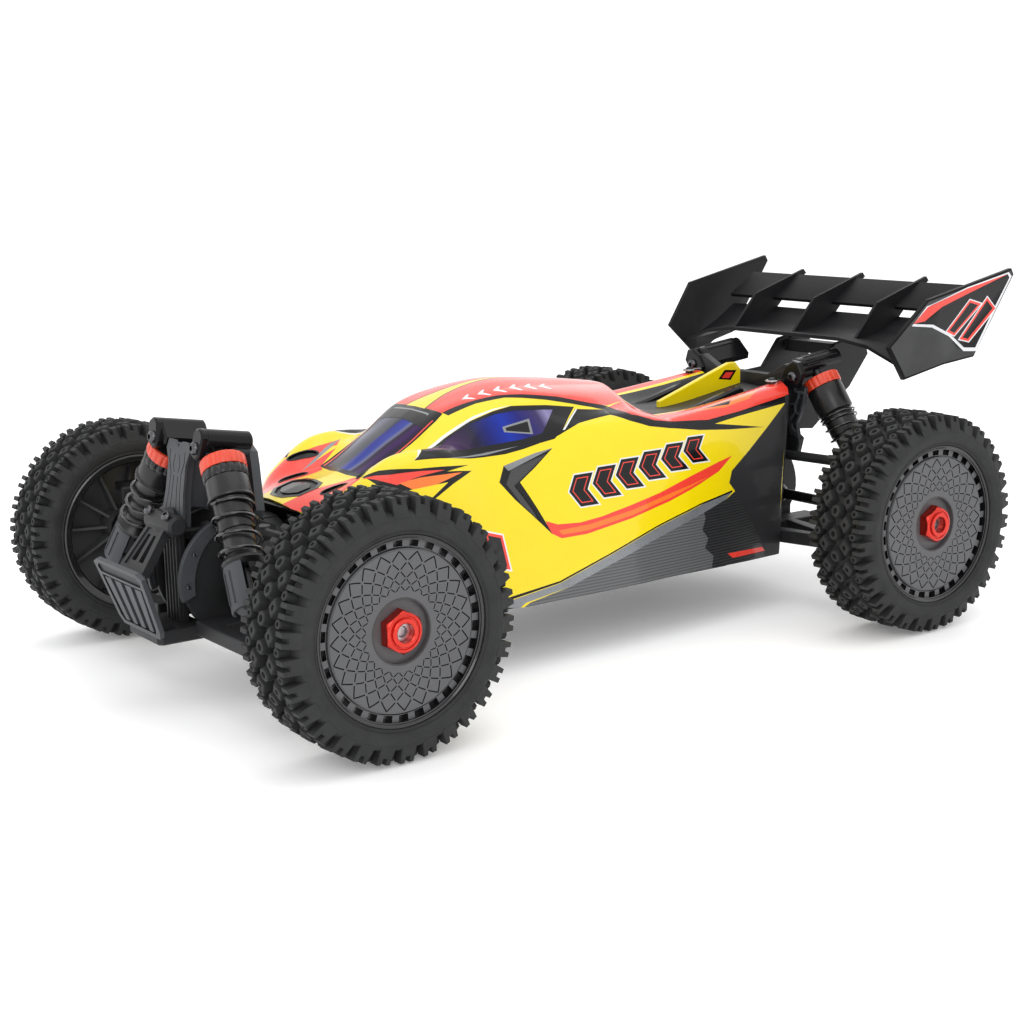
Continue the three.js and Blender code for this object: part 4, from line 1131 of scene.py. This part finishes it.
# Along a shock from its top pivot: where its spring starts, and the perch that it ends on.
SPRING_START = 28
PERCH = 58
SHOCK_SLENDER = 0.91
COIL_STEPS = 28
KNURL_STEPS = 160
SPRINGS = {
    "front": {"turns": 3.6, "wire": 0.85, "flat": 0.15},
    "rear": {"turns": 7, "wire": 0.65, "flat": 0.75},
}


def module_axes(module):
    """The directions out from the buggy's middle and up, as the shock tower leans."""
    lean, facing = math.radians(module["lean"]), module["facing"]
    return (Vector((facing * math.cos(lean), 0, math.sin(lean))),
            Vector((-facing * math.sin(lean), 0, math.cos(lean))))


def module_point(module, out, y, up):
    """A place given along a shock tower's own axes from the middle of its axle."""
    axis_out, axis_up = module_axes(module)
    return Vector((module["axle_x"], y, AXLE_HEIGHT)) + axis_out * out + axis_up * up


def along(origin, direction, side=X):
    """A matrix that puts a local Y axis along a direction, from an origin, and local X near `side`."""
    y = Vector(direction).normalized()
    x = (Vector(side) - y * y.dot(Vector(side))).normalized()
    rotation = Matrix((x, y, x.cross(y))).transposed()
    return Matrix.Translation(origin) @ rotation.to_4x4()


def ribs(count, depth):
    """A radius that dips between shallow ridges."""
    return lambda angle: 1 - depth * (0.5 + 0.5 * math.cos(angle * count)) ** 3


def tube(path, radius, material=0):
    """A round wire along a path of points, with closed ends."""
    path = [Vector(p) for p in path]
    sides, nearly_upright = 8, 0.9
    points, faces = [], []
    for i, p in enumerate(path):
        tangent = (path[min(i + 1, len(path) - 1)] - path[max(i - 1, 0)]).normalized()
        reference = Vector(Z if abs(tangent.z) < nearly_upright else Y)
        across = tangent.cross(reference).normalized()
        other = tangent.cross(across)
        for k in range(sides):
            a = TURN * k / sides
            points.append(p + (across * math.cos(a) + other * math.sin(a)) * radius)
    for i in range(len(path) - 1):
        for k in range(sides):
            j = (k + 1) % sides
            faces.append((i * sides + k, i * sides + j, (i + 1) * sides + j, (i + 1) * sides + k))
    faces += [tuple(reversed(range(sides))), tuple(range(len(points) - sides, len(points)))]
    return Part().add(points, faces, material)


def coil(radius, start, end, turns, wire, flat):
    """A spring about the Y axis. It is wound closer at its ends as `flat` goes from 0 to 1."""
    path = []
    steps = int(turns * COIL_STEPS)
    for i in range(steps + 1):
        t = i / steps
        eased = t - flat * math.sin(TURN * t) / TURN
        angle = TURN * turns * t
        path.append((radius * math.cos(angle), start + (end - start) * eased, radius * math.sin(angle)))
    return tube(path, wire)


def shock_body(front):
    """A shock from its top eye to its barrel's end. Materials: 0 satin black, 1 orange."""
    part = revolved(
        [(0, -3.6), (2.6, -3.6), (3.4, -2.8), (3.4, 4), (9.5, 4.6), (10.4, 5.2), (10.4, 6), (0, 6)], 40)
    knurl = ribs(20, 0.045)
    cap = [(9.8, 4.9), (11.2, 5.1), (11.8, 5.8, knurl), (11.8, 10.6, knurl), (11.5, 11.1), (9.8, 11.2)]
    part.join(revolved(cap, KNURL_STEPS, material=1))
    if front:
        grip = ribs(16, 0.05)
        collar = [(9.4, 11.2), (11.3, 11.3, grip), (11.6, 11.8, grip), (11.6, 15.4, grip),
                  (11.3, 15.9, grip), (9.4, 16.1)]
        part.join(revolved(collar, KNURL_STEPS))
        barrel = [(9.3, 16), (11.0, 16.2), (11.2, 16.8), (11.2, 25.4), (11.9, 25.8), (12.1, 26.4), (11.9, 27),
                  (9.8, 27.4), (9.6, 28), (9.6, 35.2), (9.1, 35.8), (9.1, 41.4), (8.8, 42), (8.6, 41.8),
                  (8.6, 12.6), (0, 12.4), (0, 11.4), (9.3, 11.4)]
    else:
        barrel = [(9.4, 11.2), (11.0, 11.4), (11.2, 12), (11.2, 26.2), (11.0, 26.8), (10.2, 27.2),
                  (9.6, 27.8), (9.6, 39.6), (9.3, 40.2), (8.7, 40.2), (8.6, 39.6), (8.6, 12.6), (0, 12.4),
                  (0, 11.2)]
    return part.join(revolved(barrel, 64))


def shock_rod(length):
    """A shock's boot, spring perch, rod, rod guard and lower eye. Materials: 0 satin black, 1 grey,
    2 dark metal."""
    part = revolved(
        [(0, 26.8), (8.0, 27), (8.2, 28), (8.2, PERCH - 4), (9.4, PERCH - 2.6), (10.9, PERCH - 1.4),
         (11.3, PERCH - 1.0), (11.3, PERCH + 0.2), (10.8, PERCH + 0.8), (8.8, PERCH + 2.2),
         (0, PERCH + 2.6)], 64)
    foot = length - 9
    part.join(revolved([(0, PERCH), (2.3, PERCH), (2.3, foot), (0, foot)], 24, material=2))
    guard = arc((0, 0), 11.0, -52, 52, 11) + arc((0, 0), 9.4, 52, -52, 11)
    part.join(prism(guard, SIDE_ON, (0, PERCH + 1, 0), foot - PERCH - 2, bevel=0.4, material=1))
    rib_end = foot - PERCH - 8
    for z in (-2.4, 2.4):
        rib = [(10, 0), (11.3, 0), (11.3, rib_end), (10, rib_end)]
        part.join(prism(rib, FLAT, (0, PERCH + 4, z - 0.3), 0.6, material=1))
    toe = [(-3.4, 0), (10.2, 0), (7.5, 3.4), (3, 6), (-3.4, 6)]
    part.join(prism(toe, FLAT, (0, foot - 4, -3.6), 7.2, bevel=0.6, material=1))
    part.join(revolved([(0, foot), (3.0, foot), (3.0, length - 3), (0, length - 3)], 24))
    to_eye = Matrix.Translation((0, length, 0)) @ Matrix.Rotation(math.pi / 2, 4, "Z")
    eye = revolved([(2.4, -3.4), (3.8, -3.4), (4.2, -3.0), (4.2, 3.0), (3.8, 3.4), (2.4, 3.4)], 36)
    pin = revolved([(0, -3.6), (1.6, -3.6), (2.3, -2.8), (2.3, 2.8), (1.6, 3.6), (0, 3.6)], 24, material=2)
    return part.join(eye.moved(to_eye)).join(pin.moved(to_eye))


def build_shocks():
    """Bodies and rods on their own CAD bodies, and springs between them."""
    for module in (FRONT, REAR):
        name = module["name"]
        top = module_point(module, module["plane"], *module["top"])
        bottom = module_point(module, module["plane"], *module["bottom"])
        direction = (bottom - top).normalized()
        slender = Matrix.Diagonal((SHOCK_SLENDER, 1, SHOCK_SLENDER, 1))
        place = along(top, direction, module_axes(module)[0]) @ slender
        both_sides(shock_body(module is FRONT).moved(place), name + "_{}_shock_body", "shock_metal",
                   [SATIN_BLACK, ORANGE])
        both_sides(shock_rod((bottom - top).length).moved(place), name + "_{}_shock_rod", "shock_metal",
                   [SATIN_BLACK, GREY_NYLON, BLACK_METAL])
        spring = coil(11.0, SPRING_START + 0.2, PERCH - 1.9, **SPRINGS[name]).moved(place)
        for side, sign in SIDES.items():
            corner = f"{name}_{side}"
            copy = spring if sign > 0 else spring.moved(MIRROR)
            piece = copy.show(f"{corner}_spring", None, "spring_steel", [GLOSS_BLACK], sharp=60)
            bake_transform(piece)


def screw(radius):
    """A button-head screw that stands up along Y, with a socket."""
    height, hexagon = radius * 0.62, polygon_radius(6)
    return revolved(
        [(0, -2), (radius * 0.55, -2), (radius * 0.55, 0), (radius, 0), (radius, height * 0.25),
         (radius * 0.86, height * 0.7), (radius * 0.6, height), (radius * 0.42, height, hexagon),
         (radius * 0.42, height * 0.2, hexagon), (0, height * 0.15)], 36)


def shock_caps(module):
    """The moulded half barrel over a shock's top, with a plate for the pivot screw."""
    axis_out, axis_up = module_axes(module)
    axes = (Y, axis_up, axis_out)
    front = module is FRONT
    y, up = module["top"]
    back, ahead = (-14.5, 9.5) if front else (-15.5, 17.0)
    section = arc((y, up + 4.6), 4.9, -35, 150, 14)
    section += [(y - 10, up + 1.0), (y - 9, up - 2.5), (y - 3, up + 0.5)]
    start = module_point(module, module["plane"] + back, 0, 0)
    part = prism(section, axes, start, ahead - back, bevel=0.9)
    if front:
        ear = arc((y, up + 4.4), 5.1, 10, 150, 9) + arc((y - 1.4, up - 0.6), 4.6, 190, 350, 9)
        ear_start = ahead - 1.5
    else:
        for angle in range(8, 137, 32):
            middle = arc((y, up + 4.6), 4.8, angle, angle, 1)[0]
            ridge = circle(0.55, 10, middle)
            part.join(prism(ridge, axes, start + axis_out * 5, ahead - back - 8, bevel=0.2))
        ear = [(y - 8, up - 1), (y - 5, up + 5), (y + 1, up + 9), (y + 5.5, up + 8.2), (y + 8.5, up + 2),
               (y + 4, up - 5.5), (y - 1, up - 7.5), (y - 6, up - 6)]
        ear_start = back - 3.6
    ear_place = module_point(module, module["plane"] + ear_start, 0, 0)
    return part.join(prism(ear, axes, ear_place, 4.2, bevel=0.8))


def pivot_screws(module):
    """The screw through a shock's top pivot, on the outside of its cap."""
    axis_out, _ = module_axes(module)
    y, up = module["top"]
    outward, inward = (12.2, 1.4) if module is FRONT else (-19.1, -1.2)
    direction = axis_out if module is FRONT else -axis_out
    place = along(module_point(module, module["plane"] + outward, y - inward, up), direction, Z)
    return screw(3.1).moved(place)


# ---- Front end --------------------------------------------------------------------------------------

def spine_face():
    """The grey plate up the middle of the front tower, with engraved lines."""
    axis_out, axis_up = module_axes(FRONT)
    half = [(12, 21.5), (9.4, 36), (9.2, 50), (12.2, 56), (10.4, 60.5), (4, 60.5)]
    notch = (0, 57.5)
    ring = half + [notch] + [(-y, up) for y, up in reversed(half)]
    lines = [
        [(7.6, 24), (8.1, 24), (6.0, 36), (5.6, 45), (8.2, 51), (8.0, 56), (7.5, 56), (7.6, 51.2),
         (5.1, 45.2), (5.5, 36)],
        [(3.4, 23), (3.9, 23), (2.4, 38), (2.4, 44), (1.9, 44), (1.9, 38)],
        [(2.2, 45.5), (3.6, 49), (2.2, 54), (1.7, 54), (3.1, 49), (1.7, 45.5)],
    ]
    grooves = [[(sign * y, up) for y, up in line] for line in lines for sign in (1, -1)]
    regions = [(ring, 0.0, 0)] + [(groove, 0.5, 1) for groove in grooves]
    place = flat_place(Y, axis_up, module_point(FRONT, 36.3, 0, 0))
    return relief(regions, place, 1.2)


def bumper():
    """The bumper: a foot, and a leaning plate with a thick rim round tapering ribs. Materials: 0 grey,
    1 darker ground."""
    upright = Vector((11.4, 0, 33)).normalized()
    outline = mirrored_ring([(20, 0.2), (23, 4.2), (27, 32.7), (22, 34.9)])
    well = mirrored_ring([(17.4, 2.4), (19.6, 5.4), (22.6, 26.6)])
    strip = mirrored_ring([(22.2, 28), (24.0, 30.6), (21, 32.8)])
    regions = [(outline, 0.0, 0), (well, 1.3, 1), (strip, 0.8, 1)]
    for middle in (-15, -5, 5, 15):
        low, high = middle * 0.88, middle * 1.12
        rib = [(low - 2.2, 3.2), (low + 2.2, 3.2), (high + 3.4, 25.8), (high - 3.4, 25.8)]
        regions.append((rib, 0.1, 0))
    part = relief(regions, flat_place(Y, upright, (240.5, 0, 35.1)), 2.3)
    foot = [(214, -17.6), (238, -17.6), (240, -15), (240, 15), (238, 17.6), (214, 17.6)]
    part.join(prism(foot, FLAT, (0, 0, 31.3), 6.4, bevel=0.8, material=1))
    gusset = [(228, 37), (240, 37), (243.5, 46)]
    return part.join(doubled(prism(gusset, SIDE_ON, (0, 11, 0), 2, bevel=0.3, material=1)))


def bumper_brace():
    """Two arms from a domed head, with two screws, down to the bumper."""
    head, toe = Vector((227.5, 0, 86.5)), Vector((243.6, 0, 64.8))
    down = (toe - head).normalized()
    normal = down.cross(Vector(Y))
    length = (toe - head).length
    outline = [(9.6, -4), (9.2, 4), (12.6, length), (-12.6, length), (-9.2, 4), (-9.6, -4)]
    slots = [[(1.6, 8), (4.2, 8), (6.2, length - 5), (1.6, length - 5)],
             [(-1.6, 8), (-1.6, length - 5), (-6.2, length - 5), (-4.2, 8)]]
    regions = [(outline, 0.0, 0), ([(6.6, 5), (9.6, length - 2), (-9.6, length - 2), (-6.6, 5)], 0.7, 0)]
    regions += [(slot, None, 0) for slot in slots]
    part = relief(regions, flat_place((0, -1, 0), down, head + normal), 4.2)
    head_bar = revolved(
        [(0, -14.5), (3.6, -14.5), (4.8, -13.2), (5.4, -9), (5.4, 9), (4.8, 13.2), (3.6, 14.5),
         (0, 14.5)], 40)
    part.join(head_bar.moved(Matrix.Translation(head - normal * 2.2)))
    dome = revolved([(0, -5), (8, -5), (8.4, -2.5), (7.6, -0.4), (5.6, 1.2), (3, 2.0), (0, 2.2)], 48)
    return part.join(dome.moved(along(head - normal * 0.5, normal, Y)))


def front_gearbox():
    """The housing with a dark cheek and a grey crescent on each side, and the ribbed post ahead of it.
    Materials: 0 black, 1 grey, 2 screw."""
    axle_line = 59.6
    housing = revolved(
        [(0, 168), (20, 168), (23, 170), (23, 178), (21.6, 179), (21.6, 196), (23, 197), (23, 203.2),
         (18, 204.4), (0, 204.8)], 72)
    part = housing.moved(along((0, 0, axle_line), X, Y))
    cheek = arc((197, 58.2), 28.6, -40, 120, 28) + [(176, 80), (176, 42), (205, 38)]
    crescent = arc((198.5, 58.4), 30, -16, 92, 24) + arc((191.3, 56.8), 29.4, 84, -8, 20)
    for ring, depth, start, material in ((cheek, 3.2, 12.6, 0), (crescent, 3.0, 15.6, 1)):
        part.join(doubled(prism(ring, SIDE_ON, (0, start, 0), depth, bevel=0.4, material=material)))
    head = revolved([(0, 0), (1.3, 0), (1.3, 0.9), (0.7, 1.2), (0, 1.2)], 16, material=2)
    for angle in (0, 30, 60, 88):
        x, z = arc((195, 57.6), 29.4, angle, angle, 1)[0]
        part.join(doubled(head.moved(Matrix.Translation((x, 18.6, z)))))
    fin = prism([(170, 0), (202, 0), (202, 2.4), (170, 2.4)], SIDE_ON, (0, -0.8, 21), 1.6)
    for angle in np.linspace(20, 160, 6):
        turned = Matrix.Translation((0, 0, axle_line)) @ Matrix.Rotation(math.radians(angle - 90), 4, "X")
        part.join(fin.moved(turned))
    foot = [(170, -24), (203, -24), (203, 24), (170, 24)]
    part.join(prism(foot, FLAT, (0, 0, 31), 10, bevel=0.8))
    post = [(-7.6, 0), (7.6, 0), (7.6, 44), (4, 48), (-4, 48), (-7.6, 44)]
    part.join(prism(post, END_ON, (219.5, 0, 36), 3.4, bevel=0.5))
    rib = [(-0.9, 0), (0.9, 0), (0.9, 43), (-0.9, 43)]
    for y in (-6.4, -3.2, 0, 3.2, 6.4):
        part.join(prism(rib, END_ON, (222.4, y, 37.5), 1.8, bevel=0.4))
    strut = [(203, -3), (220, -3), (220, 3), (203, 3)]
    for z in (40, 76):
        part.join(prism(strut, FLAT, (0, 0, z), 4.4, bevel=0.5))
    return part


def tower_truss():
    """A net of grey ribs on a dark web, down the outer edges of the rear tower, and the tower's feet.
    Materials: 0 black, 1 grey."""
    inner = [(39.6, 62.7), (34.7, 56.2), (29.5, 48), (28.7, 39.8), (32.2, 32.8), (35.7, 25.9)]
    outer = [(48, 59.9), (45.9, 52.1), (41.6, 43.6), (38.9, 39.3), (39.6, 32.1), (40.2, 26.5)]
    net = [
        [(39.7, 62), (39.7, 57.5), (42.8, 57.4), (42, 54.2), (38.7, 49.8), (33.7, 50), (29.5, 48)],
        [(38.7, 49.8), (38.3, 45), (34.9, 41.7), (31, 40.9), (28.7, 39.8)],
        [(34.9, 41.7), (33.8, 39.7), (35, 35.7), (39.6, 32.1)],
        [(42.8, 57.4), (47, 57)],
        [(38.3, 45), (42, 44.5)],
    ]
    axis_out, axis_up = module_axes(REAR)
    axes = (Y, axis_up, axis_out)
    start = module_point(REAR, 10.6, 0, 0)
    part = prism(inner + outer[::-1], axes, start + axis_out * 1.4, 1.2)
    foot = [(20, 22), (37, 20), (41, 30), (33, 36), (24, 34)]
    part.join(prism(foot, axes, start, 4.5, bevel=0.8))
    half_rib = 0.7
    for path in [inner, outer] + net:
        for a, b in zip(path, path[1:]):
            a, b = np.array(a, float), np.array(b, float)
            side = np.array((a[1] - b[1], b[0] - a[0])) / np.linalg.norm(b - a) * half_rib
            ring = [a - side, b - side, b + side, a + side]
            part.join(prism(ring, axes, start, 2.2, bevel=0.3, material=1))
    return doubled(part)


# ---- Wing -------------------------------------------------------------------------------------------

FILM_LIFT, FILM_LAYER, FILM_THICKNESS = 0.45, 0.04, 0.3
FILM_GRID = 2.5
# How far out from the middle, in metres, rays to the wing start and its nearest places are looked for.
RAY_START, NEAREST_START = 0.3, 0.1


def wing_decal(rings, sign):
    """Thin film on the wing. rings are (outline of (x, z), material) on its y = sign side, each one
    layer above the one before."""
    mesh = frame["nodes"]["wing"].data
    tree = BVHTree.FromPolygons([v.co[:] for v in mesh.vertices], [p.vertices[:] for p in mesh.polygons])

    def place(uv, depth):
        """Points on the wing's face, or above the nearest place on it where a point is off its edge."""
        points = []
        for (x, z), d in zip(uv, depth):
            hit, _, _, _ = tree.ray_cast(Vector((x * MM, sign * RAY_START, z * MM)), Vector((0, -sign, 0)))
            if hit is None:
                hit, _, _, _ = tree.find_nearest(Vector((x * MM, sign * NEAREST_START, z * MM)))
            points.append(hit / MM + Vector((0, sign, 0)) * (FILM_LIFT - d))
        return np.array(points)

    outline = rings[0][0]
    low, high = np.min(outline, 0), np.max(outline, 0)
    across, upward = (np.arange(low[i], high[i], FILM_GRID) for i in range(2))
    lattice = [(x, z) for x in across for z in upward if inside_ring((x, z), outline)]
    regions = [(ring, -FILM_LAYER * k, material) for k, (ring, material) in enumerate(rings)]
    return relief(regions, place, FILM_THICKNESS, lattice)


def inside_ring(point, ring):
    """Whether a point is inside a closed ring."""
    x, y = point
    inside = False
    for (x0, y0), (x1, y1) in zip(ring, list(ring[1:]) + [ring[0]]):
        if (y0 > y) != (y1 > y) and x < (x1 - x0) * (y - y0) / (y1 - y0) + x0:
            inside = not inside
    return inside


def wing_graphics(sign):
    """Film on an end plate: a lighter grey over it, painted light, then a printed white-edged black ground, a
    red
    band and two outlined bars. Materials: 0 black, 1 red, 2 white, 3 grey painted light."""
    side = [(-162.4, 143), (-179.4, 125), (-200.4, 131.8), (-221, 135), (-251, 178), (-249.6, 180.3),
            (-184, 166.8)]
    plate = [(-175, 154), (-183.5, 164.5), (-214, 173), (-247.5, 179.5), (-250, 177), (-222.5, 137),
             (-214.5, 137.5), (-203, 146.5), (-189, 152.5)]
    ground = [(-176, 155.3), (-184, 163.8), (-214, 172.3), (-246.5, 178.5), (-248.2, 176.4), (-222.2, 139),
              (-215, 139.5), (-203.6, 147.9), (-189.5, 154)]
    band = [(-176, 155.3), (-184, 163.8), (-214, 172.3), (-246.5, 178.5), (-214, 169.2), (-195, 163.5),
            (-184, 156.2)]
    # The whole plate first takes grey 3, lighter than the wing: painted light on its outer face.
    film = [(side, 3), (plate, 2), (ground, 0), (band, 1)]
    for bar in ([(-201, 149.5), (-207, 147), (-226, 163), (-217, 165.5)],
                [(-212, 144.5), (-218, 143), (-237, 160), (-231, 166)]):
        bar = np.array(bar, float)
        film += [(inset(bar, shrink).tolist(), material)
                 for shrink, material in ((-0.9, 2), (-0.3, 1), (1.0, 0))]
    return wing_decal(film, sign)


# ---- CAD pieces that stay in view, with their edges rounded ------------------------------------------

SLOT_FINISH = {
    "tyre": RUBBER, "rim_plastic": RIM_GREY, "red_anodised": RED_METAL, "steel": BLACK_METAL,
    "suspension_plastic": NYLON, "grey_plastic": GREY_NYLON, "shock_metal": SATIN_BLACK,
    "hub_metal": BLACK_METAL, "housing_plastic": NYLON, "chassis_metal": BLACK_METAL,
    "motor_metal": BLACK_METAL, "electronics_case": CASE, "battery_wrap": WRAP,
    "wing_plastic": WING_BLACK, "shell_paint": PAINT["yellow"],
}
REDRAWN = ("tyre", "rim", "wheel_nut", "shock_body", "shock_rod", "body_shell", "bumper_brace",
           "front_bumper", "front_gearbox")
THIN = ("shaft", "rod", "wing")
EDGE_ANGLE = math.radians(24)
FLAT_ANGLE = math.radians(1)
DOUBLED_DISTANCE = 0.002


def slot_of(piece):
    """The record's material slot of a CAD piece."""
    return piece.data.materials[0].name.split(".")[0]


def soften(node, width):
    """A copy of a CAD piece with its flat faces joined and its sharp edges rounded."""
    source = frame["nodes"][node]
    slot = slot_of(source)
    work = bmesh.new()
    work.from_mesh(source.data)
    bmesh.ops.remove_doubles(work, verts=work.verts, dist=DOUBLED_DISTANCE * MM)
    bmesh.ops.dissolve_limit(work, angle_limit=FLAT_ANGLE, verts=work.verts, edges=work.edges)
    edges = [e for e in work.edges if len(e.link_faces) == 2 and e.calc_face_angle(0) > EDGE_ANGLE]
    bmesh.ops.bevel(
        work, geom=edges, offset=width * MM, segments=2, profile=0.5, affect="EDGES", clamp_overlap=True)
    mesh = bpy.data.meshes.new(node + "_full")
    work.to_mesh(mesh)
    work.free()
    mesh.materials.clear()
    mesh.materials.append(SLOT_FINISH[slot])
    mesh.polygons.foreach_set("material_index", [0] * len(mesh.polygons))
    mesh.polygons.foreach_set("use_smooth", [True] * len(mesh.polygons))
    mesh.set_sharp_from_angle(angle=EDGE_ANGLE)
    piece = bpy.data.objects.new(node + "_full", mesh)
    bpy.context.scene.collection.objects.link(piece)
    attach(piece, source["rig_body"])
    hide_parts(node)


def soften_cad_pieces():
    """Softens every CAD piece that isn't redrawn, the thin ones less."""
    for node in sorted(frame["nodes"]):
        if not node.endswith(REDRAWN):
            soften(node, 0.5 if node.endswith(THIN) else 0.8)


def motor_rings():
    """Rings round the motor and a plate on its end. Materials: 0 black metal, 1 red."""
    part = Part()
    pitch, first = 4.6, -64
    for k in range(12):
        x = first + pitch * k
        part.join(revolved([(20, x), (21.2, x + 0.3), (21.2, x + 2.2), (20, x + 2.5)], 64))
    plate = [(0, -73.2), (7, -73.2), (7.4, -72.4), (16, -72.4), (16.6, -71.6), (0, -71.6)]
    part.join(revolved(plate, 48, material=1))
    return part.moved(along((0, 31, 53), X, Y))


def controller_fan_and_fins():
    """A seven-bladed fan and two groups of cooling fins. Materials: 0 case, 1 black metal."""
    fan = revolved([(10.8, 65.4), (13.4, 65.4), (13.4, 68), (12.8, 68.6), (11.4, 68.6), (10.8, 68)], 48)
    fan.join(revolved([(0, 65.6), (4.6, 65.6), (4.6, 67.6), (4, 68.2), (0, 68.2)], 32))
    blade = prism([(4, -1), (11, -2.6), (11, 0.4), (4, 1)], (X, (0, 0.3, 0.95), Y), (0, 66.2, 0), 0.7)
    blades = 7
    for k in range(blades):
        fan.join(blade.moved(Matrix.Rotation(TURN * k / blades, 4, "Y")))
    part = fan.moved(along((72, 29, 0), Z, X))
    low, high, width = 59.6, 63, 1.3
    for x in (46.5, 49.5, 52.5, 55.5, 87.5, 90.5, 93.5, 96.5):
        fin = [(x, low), (x + width, low), (x + width, high), (x, high)]
        part.join(prism(fin, SIDE_ON, (0, 13, 0), 32, bevel=0.2, material=1))
    return part


def battery_straps():
    """Two straps with flat buckles over the battery. Materials: 0 webbing, 1 plastic."""
    part = Part()
    loop = [(-52, 32), (-52, 75), (-5.6, 75), (-5.6, 32), (-6.4, 32), (-6.4, 74.1), (-51.1, 74.1),
            (-51.1, 32)]
    buckle = [(-40, 75), (-22, 75), (-21.2, 76.8), (-40.8, 76.8)]
    for x in (-34, 44):
        part.join(prism(loop, END_ON, (x, 0, 0), 16))
        part.join(prism(buckle, END_ON, (x - 1, 0, 0), 18, bevel=0.5, material=1))
    return part


def build_details():
    """The smaller pieces, most of them on the chassis."""
    caps, screws = Part(), Part()
    for module in (FRONT, REAR):
        caps.join(doubled(shock_caps(module)))
        screws.join(doubled(pivot_screws(module)))
    brace_screw = screw(2.6).moved(along((229.2, 9.6, 90.2), (0.5, 0.1, 0.86), Z))
    for part, name, slot, materials, replaces, sharp in (
        (caps, "shock_top_caps", "suspension_plastic", [CAP_BLACK], [], 30),
        (screws, "pivot_screws", "screw_steel", [SCREW], [], SMOOTH_ANGLE),
        (spine_face(), "front_tower_face", "grey_plastic", [GREY_NYLON, NYLON], [], 20),
        (bumper(), "front_bumper_full", "suspension_plastic", [GREY_NYLON, NYLON], ["front_bumper"], 20),
        (bumper_brace(), "bumper_brace_full", "suspension_plastic", [NYLON], ["bumper_brace"], 30),
        (front_gearbox(), "front_gearbox_full", "housing_plastic", [NYLON, GREY_NYLON, SCREW],
         ["front_gearbox"], 30),
        (tower_truss(), "rear_tower_truss", "grey_plastic", [NYLON, GREY_NYLON], [], SMOOTH_ANGLE),
        (doubled(brace_screw), "bumper_brace_screws", "screw_steel", [SCREW], [], SMOOTH_ANGLE),
        (motor_rings(), "motor_rings", "motor_metal", [BLACK_METAL, RED_METAL], [], SMOOTH_ANGLE),
        (controller_fan_and_fins(), "controller_fan_and_fins", "electronics_case", [CASE, BLACK_METAL], [],
         SMOOTH_ANGLE),
        (battery_straps(), "battery_straps", "battery_wrap", [STRAP, NYLON], [], SMOOTH_ANGLE),
    ):
        part.show(name, "chassis", slot, materials, replaces, sharp)
    # The last finish is the end plates' lighter grey: painted light.
    film = [PAINT["black"], PAINT["red"], PAINT["white"], WING_PLATE_PAINTED_LIGHT]
    for side, sign in SIDES.items():
        wing_graphics(sign).show(f"wing_film_{side}", "chassis", "decal_film", film)


# ---- Floor, light and camera ------------------------------------------------------------------------

WORLD_LIGHT = 1.15
FLOOR_GLOW = 0.14
FLOOR_SIZE, FLOOR_DROP = 14, 0.0004
# The camera's lens and sensor in millimetres, its clip distances and place in metres, and its axes.
LENS, SENSOR_WIDTH = 63.22, 36
CLIP = (0.05, 30)
CAMERA_PLACE = (0.57055, 0.76608, 0.25466)
CAMERA_RIGHT = Vector((-0.81277, 0.58223, -0.02024))
CAMERA_UP = Vector((-0.13232, -0.15065, 0.97969))
LIGHT_AIM = Vector((0, 0, 0.05))
# Each light's name, place in metres, size and power.
LIGHTS = (
    ("top_softbox", (-0.1, 0.2, 1.5), 1.3, 4),
    ("key", (0.9, 1.3, 0.9), 0.8, 5),
    ("fill", (1.3, -0.7, 0.7), 0.8, 2.4),
    ("back", (-1.1, -0.6, 0.9), 0.8, 2.4),
)


def build_stage():
    """A white floor that glows a little, an even white world and four area lights."""
    bpy.ops.mesh.primitive_plane_add(size=FLOOR_SIZE, location=(0, 0, -FLOOR_DROP))
    floor = bpy.context.object
    floor.name = "studio_floor"
    material, shader = new_material("studio_floor", 0.6)
    tree = material.node_tree
    set_inputs(shader, {
        "Base Color": blend_colours(tree, noise(tree, 900), (0.93, 0.93, 0.932), (0.96, 0.96, 0.962)),
        "Emission Color": (1, 1, 1, 1), "Emission Strength": FLOOR_GLOW,
    })
    floor.data.materials.append(material)

    world = bpy.data.worlds.new("studio")
    bpy.context.scene.world = world
    world.use_nodes = True
    set_inputs(world.node_tree.nodes["Background"], {"Color": (1, 1, 1, 1), "Strength": WORLD_LIGHT})

    for name, place, size, energy in LIGHTS:
        light = bpy.data.lights.new(name, "AREA")
        light.size = size
        light.energy = energy
        lamp = bpy.data.objects.new(name, light)
        bpy.context.scene.collection.objects.link(lamp)
        lamp.location = place
        lamp.rotation_euler = (LIGHT_AIM - Vector(place)).to_track_quat("-Z", "Y").to_euler()


def build_camera():
    """A camera in front of the buggy's left side, a little above it."""
    data = bpy.data.cameras.new("camera")
    data.sensor_width = SENSOR_WIDTH
    data.lens = LENS
    data.clip_start, data.clip_end = CLIP
    camera = bpy.data.objects.new("camera", data)
    bpy.context.scene.collection.objects.link(camera)
    back = CAMERA_RIGHT.cross(CAMERA_UP).normalized()
    rotation = Matrix((CAMERA_RIGHT, CAMERA_UP, back)).transposed()
    camera.matrix_world = Matrix.Translation(CAMERA_PLACE) @ rotation.to_4x4()
    bpy.context.scene.camera = camera
    bpy.context.scene.view_settings.view_transform = "Standard"


def finish_cad_nodes():
    """Fitting materials for the CAD nodes, in case one stays in view."""
    for piece in frame["nodes"].values():
        slot = slot_of(piece)
        piece.data.materials.clear()
        piece.data.materials.append(SLOT_FINISH[slot])


build_stage()
build_camera()
build_wheels()
build_shell()
build_shocks()
build_details()
soften_cad_pieces()
finish_cad_nodes()
